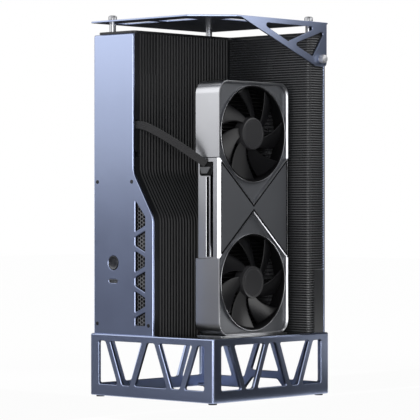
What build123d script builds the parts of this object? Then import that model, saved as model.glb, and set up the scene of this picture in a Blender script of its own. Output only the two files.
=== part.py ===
"""External graphics card enclosure: an open dock with a truss base, a ribbed tower that holds
the power supply, a ribbed back wall with the card slot, a top plate, and the installed card.

Millimetres, +Z up. The front panel faces -Y and the card's fans face +X. The origin is on the
floor, in the middle of the object's outline.
"""

from build123d import *
from math import asin, atan2, cos, radians, sin, sqrt, tan
import os

os.makedirs("parts", exist_ok=True)

# Driving dimensions of the base
base_width = 203.0
base_depth = 211.0
base_height = 75.0
base_wall = 4.5
base_corner_radius = 3.0
rim_wall = 3.0
rim_chamfer = 1.0
foot_height = 2.0
foot_radius = 5.0
foot_inset = 9.0
foot_tab = 18.0
foot_tab_thickness = 3.0
deck_recess = 1.0
deck_thickness = 2.0
deck_fit = 0.3
deck_opening_radius = 2.5

# Truss windows in each base wall
truss_bottom_rail = 14.0
truss_top_rail = 8.5
truss_margin = 15.0
truss_apex_flat = 11.7
truss_foot_flat = 12.5
truss_bar = 8.3
truss_corner_flat = 10.55
truss_side_corner_flat = 14.55
truss_corner_chamfer = 1.5
passage_height = 14.0
passage_bar = 9.5
passage_top_width = 41.5
passage_slant = 13.0

# Tower and back wall
chassis_inset = 3.5
chassis_top = 440.0
tower_upper_width = 66.0
tower_lower_width = 99.0
tower_bend_top = 272.0
tower_bend_bottom = 218.0
tower_bend_radius = 24.0
wall_depth = 30.0
front_panel_thickness = 4.0
front_top_round = 3.0
front_edge_chamfer = 0.6
side_panel_thickness = 2.5
back_panel_thickness = 3.0
cap_thickness = 3.0
cap_inset = 3.0
cap_corner_radius = 6.0

# Ribs of the tower cover and of the back wall
cover_sheet = 2.5
tower_rib_pitch = 5.0
tower_rib_depth = 2.0
tower_rib_crest = 2.2
tower_rib_band = 7.6
tower_panel_depth = 40.0
tower_panel_height = 49.0
tower_panel_sink = 0.5
wall_rib_pitch = 3.0
wall_rib_depth = 1.3
wall_rib_margin = 0.5
wall_corner_chamfer = 4.7
wall_patch_height = 78.0
wall_patch_inset = 10.0

# Cable slots in the flat band of the tower cover
cable_slot_width = 5.6
cable_slot_height = 11.0
cable_slot_z = 330.0
spare_slot_height = 6.0
spare_slot_z = 294.0

# Front panel fittings
button_radius = 8.3
button_gap = 0.35
button_x_inset = 32.6
button_z = 163.0
button_thickness = 4.5
button_chamfer = 0.5
button_travel = 1.2
button_stem_radius = 3.0
button_stem_length = 8.0
switch_body_size = 24.0
switch_body_depth = 14.0
port_z = 141.0
port_width = 14.5
port_height = 4.4
port_wall = 0.6
port_depth = 9.0
port_tongue = 0.8
panel_screw_radius = 1.9
panel_screw_head = 0.6
panel_screw_sides = 12
panel_screw_left = 5.8
panel_screw_upper = 64.0
panel_screw_lower = 92.0
panel_screw_low_z = 89.0
panel_screw_high_z = 261.0

# Zigzag vent in the lower front panel
vent_left_inset = 69.4
vent_width = 16.5
vent_top_bar_z = 201.5
vent_pitch = 24.2
vent_bar_count = 5
vent_bar = 6.4
vent_slant = 7.5
vent_top_rise = 10.55
vent_top_slant = 19.5
vent_bottom_drop = 9.45
vent_corner_chamfer = 0.7
mesh_thickness = 1.0
mesh_border = 3.0
mesh_hole = 5.6
mesh_pitch = 7.6
mesh_columns = 2

# Power supply
psu_width = 86.0
psu_depth = 140.0
psu_height = 138.0
psu_fan_radius = 54.0
psu_fan_pocket_gap = 2.5
psu_fan_pocket_depth = 26.0
psu_fan_blades = 7
psu_fan_hub_radius = 21.0
psu_fan_thickness = 18.0
psu_blade_thickness = 2.0
psu_blade_depth = 14.4
psu_blade_pitch = 32.0
side_vent_slot = 4.0
side_vent_pitch = 9.5

# Mains inlet and switch
inlet_width = 28.0
inlet_height = 21.0
inlet_depth = 21.0
inlet_recess_width = 24.4
inlet_recess_height = 16.6
inlet_recess_depth = 17.0
inlet_chamfer = 5.0
inlet_z = 103.0
inlet_pin_width = 2.0
inlet_pin_height = 4.0
inlet_pin_length = 11.0
inlet_pin_spacing = 14.0
inlet_pin_drop = 4.0
switch_width = 15.0
switch_height = 22.0
switch_depth = 12.0
switch_wall = 1.3
switch_z = 134.0
switch_tilt = 8.0
rocker_gap = 0.4
rocker_depth = 7.0
rocker_dish = 1.2
rocker_pin_radius = 1.0
running_gap = 0.05

# Back panel openings
back_vent_slot = 4.0
back_vent_pitch = 9.0
back_vent_rows = 7
back_vent_length = 64.0
back_vent_low_z = 156.0
host_port_x_inset = 60.0
host_port_z = 120.0
host_port_width = 9.6
host_port_height = 3.8
back_screw_radius = 3.0
back_screw_head = 1.6
back_screw_inset = 7.0

# Top plate, posts and thumb screws
top_gap = 11.5
plate_thickness = 2.0
plate_chamfer = 42.0
plate_corner_radius = 4.0
plate_slot_border = 28.0
plate_slot_width = 20.0
plate_slot_radius = 5.0
plate_slot_a_start = 14.5
plate_slot_a_length = 60.0
plate_slot_gap = 10.0
plate_slot_b_length = 53.0
plate_slot_c_start = 62.0
plate_slot_c_length = 64.0
gusset_drop = 54.0
gusset_start = 49.0
gusset_toe = 25.0
gusset_corner_radius = 5.0
gusset_hole_radius = 2.5
gusset_rail = 6.2
gusset_upper_start = 35.0
gusset_upper_end = 19.3
gusset_knee = 85.5
gusset_knee_drop = 26.4
gusset_bar = 10.2
gusset_bar_drop = 2.6
gusset_lower_reach = 11.8
gusset_lower_drop = 3.9
gusset_lower_inset = 11.1
gusset_lower_rail = 11.4
post_radius = 4.0
post_inset_x = 20.5
post_inset_y = 18.5
post_right_inset_x = 17.0
stud_radius = 2.0
stud_reach = 6.0
thumb_radius = 5.2
thumb_height = 7.7
thumb_tooth_count = 14
thumb_tooth = 0.5
side_screw_reach = 8.0
side_screw_radius = 5.2
side_screw_inset = 15.5
side_screw_drop = 45.0
side_screw_shank = 10.0

# Graphics card
card_length = 304.0
card_width = 126.5
card_thickness = 38.5
card_face_inset = 29.5
card_rear_gap = 7.8
card_corner_radius = 16.0
card_wall = 4.2
card_rim = 3.0
card_face_depth = 10.0
card_pocket_depth = 4.8
card_pocket_chamfer = 2.0
card_pocket_margin = 3.4
card_tip = 5.7
card_tip_radius = 2.5
card_trim = 3.2
card_front_bevel = 5.0
card_rear_bevel = 2.4
card_back_step = 3.7
card_panel_thickness = 1.0
card_fit_gap = 0.15
card_edge_chamfer = 0.6
bracket_thickness = 1.5
bracket_margin = 3.0
deck_opening_margin = 7.0
socket_count = 4
socket_width = 17.0
socket_height = 6.0
socket_wall = 0.8
socket_pitch = 24.0

# Card fans
fan_plate_margin = 1.55
fan_end_margin = 1.0
fan_tip_gap = 1.2
fan_hub_radius = 19.5
fan_hub_height = 14.0
fan_hub_chamfer = 1.2
fan_blade_count = 7
fan_blade_thickness = 1.5
fan_blade_pitch_angle = 20.0
fan_blade_span_angle = 32.0
fan_blade_chord = 40.0
fan_blade_camber = 1.5
fan_start_angle = 18.6
fan_middle_sweep_angle = 20.0
fan_tip_sweep_angle = 33.0
fan_ring_width = 0.8
fan_ring_proud = 3.4
fan_motor_radius = 17.0
fan_motor_thickness = 2.0
fan_shaft_radius = 1.5
fan_shaft_length = 9.0
fan_axial_gap = 0.6

# Card cooler and board
fin_tip_depth = 18.3
fin_length = 11.0
fin_spine = 2.5
fin_pitch = 4.5
fin_thickness = 1.0
fin_zone = 112.0
cooler_margin = 1.0
board_front_inset = 15.0
backplate_thickness = 2.0
backplate_window_width = 86.0
backplate_window_height = 92.0
board_thickness = 1.6
board_back = 3.0
board_length = 170.0
board_low = 42.0
chip_size = 32.0
finger_length = 88.0
finger_reach = 9.0
finger_gap = 1.0

# Card power socket, plug and cable, and the slots beside them
power_socket_width = 21.0
power_socket_height = 16.0
power_socket_depth = 9.0
power_socket_face_inset = 11.0
power_socket_top = 54.5
power_plug_reach = 2.0
plug_gap = 0.5
plug_corner_radius = 1.0
edge_recess = 0.8
edge_slot_offsets = (10.8, 17.8)
edge_slot_width = 3.8
edge_slot_top = 37.0
edge_slot_length = 95.0
cable_radius = 2.5
cable_tail = 10.0
cable_lead = 8.0
cable_droop = 0.5

# Card slot on the back wall
slot_width = 7.4
slot_height = 92.0
slot_reach = 6.5
slot_groove = 2.2
slot_groove_depth = 8.6
slot_gap = 0.5
slot_board_reach = 42.0
slot_board_gap = 2.8
slot_board_height = 170.0
slot_board_thickness = 1.6

# Places worked out from the driving dimensions
x_left = -(base_width + side_screw_reach) / 2
x_right = x_left + base_width
x_middle = (x_left + x_right) / 2
y_front = -base_depth / 2
y_back = base_depth / 2
base_bottom = foot_height
base_top = base_bottom + base_height
deck_top = base_top - deck_recess
deck_bottom = deck_top - deck_thickness
chassis_left = x_left + chassis_inset
chassis_right = x_right - chassis_inset
chassis_front = y_front + chassis_inset
chassis_back = y_back - chassis_inset
tower_upper_x = chassis_left + tower_upper_width
tower_lower_x = chassis_left + tower_lower_width
panel_back_y = chassis_front + front_panel_thickness
back_inner_y = chassis_back - back_panel_thickness
wall_front_y = chassis_back - wall_depth
wall_inner_y = wall_front_y + wall_rib_depth + cover_sheet
side_inner_x = chassis_left + side_panel_thickness
cap_top = chassis_top + cap_thickness
plate_bottom = cap_top + top_gap
plate_top = plate_bottom + plate_thickness
card_face_x = x_right - card_face_inset
card_back_x = card_face_x - card_thickness
card_rear_y = wall_front_y - card_rear_gap
card_front_y = card_rear_y - card_width
card_mid_y = (card_front_y + card_rear_y) / 2
bracket_top = deck_top + bracket_thickness
card_bottom = bracket_top
card_mid_z = card_bottom + card_length / 2
fan_opening_radius = card_width / 2 - card_rim - fan_plate_margin
fan_tip_radius = fan_opening_radius - fan_ring_width - fan_tip_gap
fan_spacing = card_length - 2 * (card_rim + fan_end_margin + fan_opening_radius)
fan_heights = {"upper": card_mid_z + fan_spacing / 2, "lower": card_mid_z - fan_spacing / 2}
pocket_lean = asin((fan_opening_radius + card_pocket_margin) / (fan_spacing / 2 - card_tip))
card_shoulder = card_tip + (card_width / 2 - card_rim) / tan(pocket_lean)
face_back_x = card_face_x - card_face_depth
fin_tip_x = card_face_x - fin_tip_depth
spine_front_x = fin_tip_x - fin_length
spine_back_x = spine_front_x - fin_spine
board_x = card_back_x + board_back
cut_over = 1.0


# Base frame: four truss walls round an open middle, a ledge for the deck and tabs for the feet
def truss_windows(wall_length, corner_flat):
    """Outlines of the windows in one wall, measured from the middle of the wall's foot."""
    low = truss_bottom_rail
    high = base_height - truss_top_rail
    end = wall_length / 2 - truss_margin
    apex = truss_apex_flat / 2
    slant = (end - apex - 2 * truss_bar - truss_foot_flat - corner_flat) / 2
    apex_foot = apex + slant
    foot_start = apex_foot + truss_bar
    foot_end = foot_start + truss_foot_flat
    valley_end = foot_end + slant
    middle = [(-apex, high), (apex, high), (apex_foot, low), (-apex_foot, low)]
    valley = [(apex + truss_bar, high), (valley_end, high), (foot_end, low), (foot_start, low)]
    corner = [(valley_end + truss_bar, high), (end, high), (end, low), (foot_end + truss_bar, low)]
    outlines = [middle]
    for outline in (valley, corner):
        outlines.append(outline)
        outlines.append([(-across, up) for across, up in outline])
    return outlines


def passage_windows(windows):
    """The same wall with a bar across its middle window and a cable passage under the bar."""
    apex, high = windows[0][1]
    apex_foot, low = windows[0][2]
    bar_top = passage_height + passage_bar
    bar_end = apex + (apex_foot - apex) * (high - bar_top) / (high - low)
    middle = [(-apex, high), (apex, high), (bar_end, bar_top), (-bar_end, bar_top)]
    top = passage_top_width / 2
    foot = top + passage_slant
    passage = [(-top, passage_height), (top, passage_height), (foot, 0), (-foot, 0)]
    return [middle, passage, *windows[1:]]


cross_windows = truss_windows(base_width, truss_corner_flat)
back_windows = passage_windows(cross_windows)
side_windows = truss_windows(base_depth, truss_side_corner_flat)
base_walls = [
    (Plane((x_middle, y_front, base_bottom), x_dir=(1, 0, 0), z_dir=(0, -1, 0)), cross_windows),
    (Plane((x_middle, y_back, base_bottom), x_dir=(-1, 0, 0), z_dir=(0, 1, 0)), back_windows),
    (Plane((x_right, 0, base_bottom), x_dir=(0, 1, 0), z_dir=(1, 0, 0)), side_windows),
    (Plane((x_left, 0, base_bottom), x_dir=(0, -1, 0), z_dir=(-1, 0, 0)), side_windows),
]
base_corners = [(x, y) for x in (-1, 1) for y in (-1, 1)]

with BuildPart() as base_frame:
    with BuildSketch(Plane((x_middle, 0, base_bottom))):
        RectangleRounded(base_width, base_depth, base_corner_radius)
    extrude(amount=base_height)
    chamfer(base_frame.faces().sort_by(Axis.Z)[-1].edges(), rim_chamfer)
    with BuildSketch(Plane((x_middle, 0, base_bottom))):
        Rectangle(base_width - 2 * base_wall, base_depth - 2 * base_wall)
    extrude(amount=base_height, mode=Mode.SUBTRACT)
    with BuildSketch(Plane((x_middle, 0, deck_bottom))):
        Rectangle(base_width - 2 * rim_wall, base_depth - 2 * rim_wall)
    extrude(amount=base_height, mode=Mode.SUBTRACT)
    with BuildSketch(Plane((x_middle, 0, base_bottom))):
        for side_x, side_y in base_corners:
            tab_x = side_x * (base_width / 2 - base_wall - foot_tab / 2 + cut_over)
            tab_y = side_y * (base_depth / 2 - base_wall - foot_tab / 2 + cut_over)
            with Locations((tab_x, tab_y)):
                Rectangle(foot_tab, foot_tab)
    extrude(amount=foot_tab_thickness)
    for wall_plane, wall_windows in base_walls:
        for outline in wall_windows:
            with BuildSketch(wall_plane) as window:
                with BuildLine():
                    Polyline(*outline, close=True)
                make_face()
                chamfer(window.vertices(), truss_corner_chamfer)
            extrude(amount=-(base_wall + cut_over), mode=Mode.SUBTRACT)
base_frame.part.label = "base_frame"
export_step(base_frame.part, "parts/base_frame.step")

with BuildPart() as rubber_feet:
    with BuildSketch(Plane((x_middle, 0, 0))):
        for side_x, side_y in base_corners:
            foot_x = side_x * (base_width / 2 - foot_inset)
            foot_y = side_y * (base_depth / 2 - foot_inset)
            with Locations((foot_x, foot_y)):
                Circle(foot_radius)
    extrude(amount=foot_height)
rubber_feet.part.label = "rubber_feet"
export_step(rubber_feet.part, "parts/rubber_feet.step")

# Deck plate inside the rim, open under the card's display sockets
deck_opening_x = (card_back_x + card_face_x) / 2
deck_opening_width = card_thickness - deck_opening_margin
deck_opening_depth = card_width - 2 * deck_opening_margin
with BuildPart() as deck_plate:
    with BuildSketch(Plane((x_middle, 0, deck_bottom))):
        Rectangle(base_width - 2 * (rim_wall + deck_fit), base_depth - 2 * (rim_wall + deck_fit))
    extrude(amount=deck_thickness)
    with BuildSketch(Plane((deck_opening_x, card_mid_y, deck_bottom))):
        RectangleRounded(deck_opening_width, deck_opening_depth, deck_opening_radius)
    extrude(amount=deck_thickness, mode=Mode.SUBTRACT)
deck_plate.part.label = "deck_plate"
export_step(deck_plate.part, "parts/deck_plate.step")


# Front panel: narrow above, wide below, joined by a slope with rounded bends
def tower_side(z_low, z_high, inward):
    """Corners of the tower's inner side from foot to top, moved inward from the rib crests."""
    run = tower_lower_width - tower_upper_width
    rise = tower_bend_top - tower_bend_bottom
    shift = inward * tan(atan2(run, rise) / 2)
    return [
        (tower_lower_x - inward, z_low),
        (tower_lower_x - inward, tower_bend_bottom - shift),
        (tower_upper_x - inward, tower_bend_top - shift),
        (tower_upper_x - inward, z_high),
    ]


vent_reach = (vent_slant + vent_bar) / 2
vent_top_right_z = vent_top_bar_z + vent_reach + vent_top_rise
vent_top_left_z = vent_top_right_z + vent_top_slant
vent_bottom_z = vent_top_bar_z - (vent_bar_count - 1) * vent_pitch - vent_reach - vent_bottom_drop


def vent_outlines():
    """Outlines of the zigzag vent's openings, from the top one down, in X and Z."""
    left = chassis_left + vent_left_inset
    right = left + vent_width
    half_bar = vent_bar / 2
    half_slant = vent_slant / 2
    top_left = vent_top_left_z
    top_right = vent_top_right_z
    outlines = []
    for index in range(vent_bar_count):
        middle = vent_top_bar_z - index * vent_pitch
        lean = half_slant if index % 2 == 0 else -half_slant
        low_left = middle - lean + half_bar
        low_right = middle + lean + half_bar
        outlines.append([(left, top_left), (right, top_right), (right, low_right), (left, low_left)])
        top_left = middle - lean - half_bar
        top_right = middle + lean - half_bar
    outlines.append([(left, top_left), (right, top_right), (right, vent_bottom_z), (left, vent_bottom_z)])
    return outlines


button_x = chassis_left + button_x_inset
panel_screw_places = [
    (chassis_left + panel_screw_left, panel_screw_low_z),
    (chassis_left + panel_screw_left, panel_screw_high_z),
    (chassis_left + panel_screw_upper, panel_screw_high_z),
    (chassis_left + panel_screw_lower, panel_screw_low_z),
]
front_plane = Plane((0, chassis_front, 0), x_dir=(1, 0, 0), z_dir=(0, -1, 0))
panel_back_plane = Plane((0, panel_back_y, 0), x_dir=(1, 0, 0), z_dir=(0, -1, 0))

with BuildPart() as front_panel:
    with BuildSketch(front_plane) as outline:
        with BuildLine():
            side = FilletPolyline(*tower_side(deck_top, chassis_top, 0), radius=tower_bend_radius)
            Polyline(side @ 1, (chassis_left, chassis_top), (chassis_left, deck_top), side @ 0)
        make_face()
    extrude(amount=-front_panel_thickness)
    front_edges = front_panel.faces().sort_by(Axis.Y)[0].edges()
    top_edge = front_edges.sort_by(Axis.Z)[-1]
    fillet(top_edge, front_top_round)
    with BuildSketch(front_plane):
        for vent in vent_outlines():
            with BuildSketch(mode=Mode.PRIVATE) as opening:
                with BuildLine():
                    Polyline(*vent, close=True)
                make_face()
                chamfer(opening.vertices(), vent_corner_chamfer)
            add(opening.sketch)
        with Locations((button_x, button_z)):
            Circle(button_radius + button_gap)
        with Locations((button_x, port_z)):
            SlotOverall(port_width, port_height)
    extrude(amount=-front_panel_thickness, mode=Mode.SUBTRACT)
    long_edges = front_panel.faces().sort_by(Axis.Y)[0].outer_wire().edges().filter_by(Axis.Z)
    chamfer(long_edges.sort_by(Axis.X)[0], front_edge_chamfer)
front_panel.part.label = "front_panel"
export_step(front_panel.part, "parts/front_panel.step")

with BuildPart() as front_panel_screws:
    with BuildSketch(front_plane):
        with Locations(*panel_screw_places):
            RegularPolygon(panel_screw_radius, panel_screw_sides)
    extrude(amount=panel_screw_head)
front_panel_screws.part.label = "front_panel_screws"
export_step(front_panel_screws.part, "parts/front_panel_screws.step")

# Perforated sheet behind the zigzag vent, cut back under the tower's slope
mesh_left = chassis_left + vent_left_inset - mesh_border
mesh_right = mesh_left + vent_width + 2 * mesh_border
mesh_low = vent_bottom_z - mesh_border
mesh_rows = int((vent_top_right_z - mesh_low) / mesh_pitch)
with BuildPart() as front_vent_mesh:
    with BuildSketch(panel_back_plane):
        with BuildLine():
            Polyline(
                (mesh_left, mesh_low),
                (mesh_right, mesh_low),
                (mesh_right, vent_top_right_z),
                (mesh_left + mesh_border, vent_top_left_z + mesh_border),
                (mesh_left, vent_top_left_z + mesh_border),
                close=True,
            )
        make_face()
        with Locations(((mesh_left + mesh_right) / 2, (mesh_low + vent_top_right_z) / 2)):
            with GridLocations(mesh_pitch, mesh_pitch, mesh_columns, mesh_rows):
                RegularPolygon(mesh_hole / 2, 4, mode=Mode.SUBTRACT)
    extrude(amount=-mesh_thickness)
front_vent_mesh.part.label = "front_vent_mesh"
export_step(front_vent_mesh.part, "parts/front_vent_mesh.step")

# Power button on its stem, its switch body, and the small port below it
with BuildPart() as power_button:
    with BuildSketch(front_plane):
        with Locations((button_x, button_z)):
            Circle(button_radius)
    extrude(amount=-button_thickness)
    chamfer(power_button.faces().sort_by(Axis.Y)[0].edges(), button_chamfer)
    with BuildSketch(front_plane.offset(-button_thickness)):
        with Locations((button_x, button_z)):
            Circle(button_stem_radius)
    extrude(amount=-button_stem_length)
power_button.part.label = "power_button"
export_step(power_button.part, "parts/power_button.step")

with BuildPart() as button_switch:
    with BuildSketch(panel_back_plane):
        with Locations((button_x, button_z)):
            Rectangle(switch_body_size, switch_body_size)
    extrude(amount=-switch_body_depth)
    with BuildSketch(panel_back_plane):
        with Locations((button_x, button_z)):
            Circle(button_radius + button_gap)
    button_room = button_thickness - front_panel_thickness + button_travel + button_gap
    extrude(amount=-button_room, mode=Mode.SUBTRACT)
    with BuildSketch(panel_back_plane):
        with Locations((button_x, button_z)):
            Circle(button_stem_radius + running_gap)
    extrude(amount=-(button_stem_length + button_travel + cut_over), mode=Mode.SUBTRACT)
button_switch.part.label = "button_switch"
export_step(button_switch.part, "parts/button_switch.step")

with BuildPart() as front_port:
    with BuildSketch(front_plane.offset(-button_gap)):
        with Locations((button_x, port_z)):
            SlotOverall(port_width, port_height)
    extrude(amount=-port_depth)
    with BuildSketch(front_plane.offset(-button_gap)):
        with Locations((button_x, port_z)):
            SlotOverall(port_width - 2 * port_wall, port_height - 2 * port_wall)
    extrude(amount=-(port_depth - port_wall), mode=Mode.SUBTRACT)
    with BuildSketch(front_plane.offset(-2 * button_gap)):
        with Locations((button_x, port_z)):
            Rectangle(port_width - 6 * port_wall, port_tongue)
    extrude(amount=-(port_depth - button_gap))
front_port.part.label = "front_port"
export_step(front_port.part, "parts/front_port.step")

# Ribbed inner cover of the tower: a comb section swept up the tower's bent side, with two cable
# slots and a slightly sunk panel in its upper front corner
rib_start_y = panel_back_y + tower_rib_band
tower_rib_count = int((wall_front_y - rib_start_y) / tower_rib_pitch)
tower_cover = tower_rib_depth + cover_sheet


def tower_comb():
    """Section of the ribbed cover: a flat band by the front panel, then V-shaped grooves."""
    flank = (tower_rib_pitch - tower_rib_crest) / 2
    points = [(tower_lower_x - tower_cover, panel_back_y), (tower_lower_x, panel_back_y)]
    for index in range(tower_rib_count):
        groove = rib_start_y + index * tower_rib_pitch
        points.append((tower_lower_x, groove))
        points.append((tower_lower_x - tower_rib_depth, groove + flank))
        points.append((tower_lower_x, groove + 2 * flank))
    points.append((tower_lower_x, wall_front_y))
    points.append((tower_lower_x - tower_cover, wall_front_y))
    return points


with BuildPart() as tower_rib_cover:
    with BuildLine(Plane.XZ):
        FilletPolyline(*tower_side(deck_top, chassis_top, 0), radius=tower_bend_radius)
    with BuildSketch(Plane.XY.offset(deck_top)):
        with BuildLine():
            Polyline(*tower_comb(), close=True)
        make_face()
    sweep()
    with BuildSketch(Plane.YZ.offset(tower_upper_x - tower_cover - cut_over)):
        with Locations((panel_back_y + cable_slot_width / 2, cable_slot_z)):
            Rectangle(cable_slot_width, cable_slot_height)
        with Locations((panel_back_y + cable_slot_width / 2, spare_slot_z)):
            Rectangle(cable_slot_width, spare_slot_height)
    extrude(amount=tower_cover + 2 * cut_over, mode=Mode.SUBTRACT)
    with BuildSketch(Plane.YZ.offset(tower_upper_x)):
        with Locations((panel_back_y, chassis_top)):
            Rectangle(tower_panel_depth, tower_panel_height, align=(Align.MIN, Align.MAX))
    extrude(amount=-tower_panel_sink, mode=Mode.SUBTRACT)
tower_rib_cover.part.label = "tower_rib_cover"
export_step(tower_rib_cover.part, "parts/tower_rib_cover.step")

# Power supply: a case with a round fan bay on its outer side and pockets for inlet and switch
psu_x = side_inner_x + psu_width / 2
psu_y = back_inner_y - psu_depth / 2
psu_mid_z = deck_top + psu_height / 2
psu_fan_plane = Plane((side_inner_x, psu_y, psu_mid_z), x_dir=(0, 1, 0), z_dir=(1, 0, 0))
psu_floor = psu_fan_plane.offset(psu_fan_pocket_depth)
back_plane = Plane((0, chassis_back, 0), x_dir=(-1, 0, 0), z_dir=(0, 1, 0))
with BuildPart() as psu_case:
    with BuildSketch(Plane((psu_x, psu_y, deck_top))):
        Rectangle(psu_width, psu_depth)
    extrude(amount=psu_height)
    with BuildSketch(psu_fan_plane):
        Circle(psu_fan_radius + psu_fan_pocket_gap)
    extrude(amount=psu_fan_pocket_depth, mode=Mode.SUBTRACT)
    with BuildSketch(psu_floor):
        Circle(psu_fan_hub_radius - psu_fan_pocket_gap)
    extrude(amount=-(psu_fan_pocket_depth - psu_fan_thickness) / 2)
    with BuildSketch(psu_floor):
        Circle(stud_radius)
    extrude(amount=-psu_fan_thickness)
    with BuildSketch(back_plane):
        with Locations((-psu_x, inlet_z)):
            Rectangle(inlet_width, inlet_height)
    extrude(amount=-(inlet_depth + running_gap), mode=Mode.SUBTRACT)
    with BuildSketch(back_plane):
        with Locations((-psu_x, switch_z)):
            Rectangle(switch_width, switch_height)
    extrude(amount=-(switch_depth + running_gap), mode=Mode.SUBTRACT)
psu_case.part.label = "psu_case"
export_step(psu_case.part, "parts/psu_case.step")


def radial_plane(centre, radius, angle, pitch):
    """Section plane of a fan blade: across the radius, its X tilted out of the fan's plane."""
    out = Vector(0, cos(radians(angle)), sin(radians(angle)))
    round_way = Vector(0, -sin(radians(angle)), cos(radians(angle)))
    chord = round_way * -cos(radians(pitch)) + Vector(sin(radians(pitch)), 0, 0)
    return Plane(centre + out * radius, x_dir=chord, z_dir=out)


psu_rotor_back = (psu_fan_pocket_depth - psu_fan_thickness) / 2 + fan_axial_gap
psu_rotor_plane = psu_floor.offset(-psu_rotor_back)
psu_rotor_centre = psu_rotor_plane.origin - Vector(psu_fan_thickness / 2, 0, 0)
psu_blade_chord = psu_blade_depth / sin(radians(psu_blade_pitch))
with BuildPart() as psu_fan_rotor:
    with BuildSketch(psu_rotor_plane):
        Circle(psu_fan_hub_radius)
    extrude(amount=-psu_fan_thickness)
    for blade in range(psu_fan_blades):
        turn = blade * 360 / psu_fan_blades
        blade_root = psu_fan_hub_radius - cut_over
        with BuildSketch(radial_plane(psu_rotor_centre, blade_root, turn, psu_blade_pitch)):
            Rectangle(psu_blade_chord, psu_blade_thickness)
        extrude(amount=psu_fan_radius - psu_fan_hub_radius)
    with BuildSketch(psu_rotor_plane):
        Circle(stud_radius + running_gap)
    extrude(amount=-(psu_fan_thickness - psu_rotor_back + cut_over), mode=Mode.SUBTRACT)
psu_fan_rotor.part.label = "psu_fan_rotor"
export_step(psu_fan_rotor.part, "parts/psu_fan_rotor.step")

# Outer side panel with slots in front of the power supply's fan
side_vent_half = int(psu_fan_radius / side_vent_pitch)
with BuildPart() as side_panel:
    with BuildSketch(Plane.YZ.offset(chassis_left)):
        with Locations((panel_back_y, deck_top)):
            Rectangle(back_inner_y - panel_back_y, chassis_top - deck_top, align=(Align.MIN, Align.MIN))
    extrude(amount=side_panel_thickness)
    with BuildSketch(psu_fan_plane):
        for row in range(-side_vent_half, side_vent_half + 1):
            height = row * side_vent_pitch
            with Locations((0, height)):
                Rectangle(2 * sqrt(psu_fan_radius**2 - height**2), side_vent_slot)
    extrude(amount=-side_panel_thickness, mode=Mode.SUBTRACT)
side_panel.part.label = "side_panel"
export_step(side_panel.part, "parts/side_panel.step")

# Back panel over tower and wall, with vent slots, mains fittings and the host port
host_port_x = chassis_right - host_port_x_inset
back_screw_places = [
    (-(chassis_left + back_screw_inset), chassis_top - back_screw_inset),
    (-(chassis_right - back_screw_inset), chassis_top - back_screw_inset),
    (-(chassis_left + back_screw_inset), deck_top + back_screw_inset),
    (-(chassis_right - back_screw_inset), deck_top + back_screw_inset),
    (-(chassis_left + back_screw_inset), (chassis_top + deck_top) / 2),
    (-(chassis_right - back_screw_inset), (chassis_top + deck_top) / 2),
]
with BuildPart() as back_panel:
    with BuildSketch(back_plane):
        with Locations((-(chassis_left + chassis_right) / 2, (deck_top + chassis_top) / 2)):
            Rectangle(chassis_right - chassis_left, chassis_top - deck_top)
        with Locations((-psu_x, inlet_z)):
            Rectangle(inlet_width, inlet_height, mode=Mode.SUBTRACT)
        with Locations((-psu_x, switch_z)):
            Rectangle(switch_width, switch_height, mode=Mode.SUBTRACT)
        for row in range(back_vent_rows):
            with Locations((-psu_x, back_vent_low_z + row * back_vent_pitch)):
                Rectangle(back_vent_length, back_vent_slot, mode=Mode.SUBTRACT)
        with Locations((-host_port_x, host_port_z)):
            SlotOverall(host_port_width, host_port_height, mode=Mode.SUBTRACT)
    extrude(amount=-back_panel_thickness)
back_panel.part.label = "back_panel"
export_step(back_panel.part, "parts/back_panel.step")

with BuildPart() as back_panel_screws:
    with BuildSketch(back_plane):
        with Locations(*back_screw_places):
            RegularPolygon(back_screw_radius, panel_screw_sides)
    extrude(amount=back_screw_head)
back_panel_screws.part.label = "back_panel_screws"
export_step(back_panel_screws.part, "parts/back_panel_screws.step")

with BuildPart() as host_port:
    with BuildSketch(back_plane.offset(-back_panel_thickness)):
        with Locations((-host_port_x, host_port_z)):
            Rectangle(host_port_width + 4 * port_wall, host_port_height + 4 * port_wall)
    extrude(amount=-port_depth)
    with BuildSketch(back_plane.offset(-back_panel_thickness)):
        with Locations((-host_port_x, host_port_z)):
            SlotOverall(host_port_width, host_port_height)
    extrude(amount=-(port_depth - port_wall), mode=Mode.SUBTRACT)
    with BuildSketch(back_plane.offset(-back_panel_thickness)):
        with Locations((-host_port_x, host_port_z)):
            Rectangle(host_port_width - 4 * port_wall, port_tongue)
    extrude(amount=-(port_depth - port_wall / 2))
host_port.part.label = "host_port"
export_step(host_port.part, "parts/host_port.step")

# Mains inlet with its three pins
with BuildPart() as mains_inlet:
    with BuildSketch(back_plane):
        with Locations((-psu_x, inlet_z)):
            Rectangle(inlet_width, inlet_height)
    extrude(amount=-inlet_depth)
    with BuildSketch(back_plane) as recess:
        with Locations((-psu_x, inlet_z)):
            Rectangle(inlet_recess_width, inlet_recess_height)
        chamfer(recess.vertices().group_by(Axis.Y)[-1], inlet_chamfer)
    extrude(amount=-inlet_recess_depth, mode=Mode.SUBTRACT)
mains_inlet.part.label = "mains_inlet"
export_step(mains_inlet.part, "parts/mains_inlet.step")

pin_floor = back_plane.offset(-inlet_recess_depth)
with BuildPart() as inlet_pins:
    with BuildSketch(pin_floor):
        for across, drop in ((-0.5, 0), (0.5, 0), (0, inlet_pin_drop)):
            with Locations((-psu_x + across * inlet_pin_spacing, inlet_z - inlet_pin_drop / 2 + drop)):
                Rectangle(inlet_pin_width, inlet_pin_height)
    extrude(amount=inlet_pin_length)
inlet_pins.part.label = "inlet_pins"
export_step(inlet_pins.part, "parts/inlet_pins.step")

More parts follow.
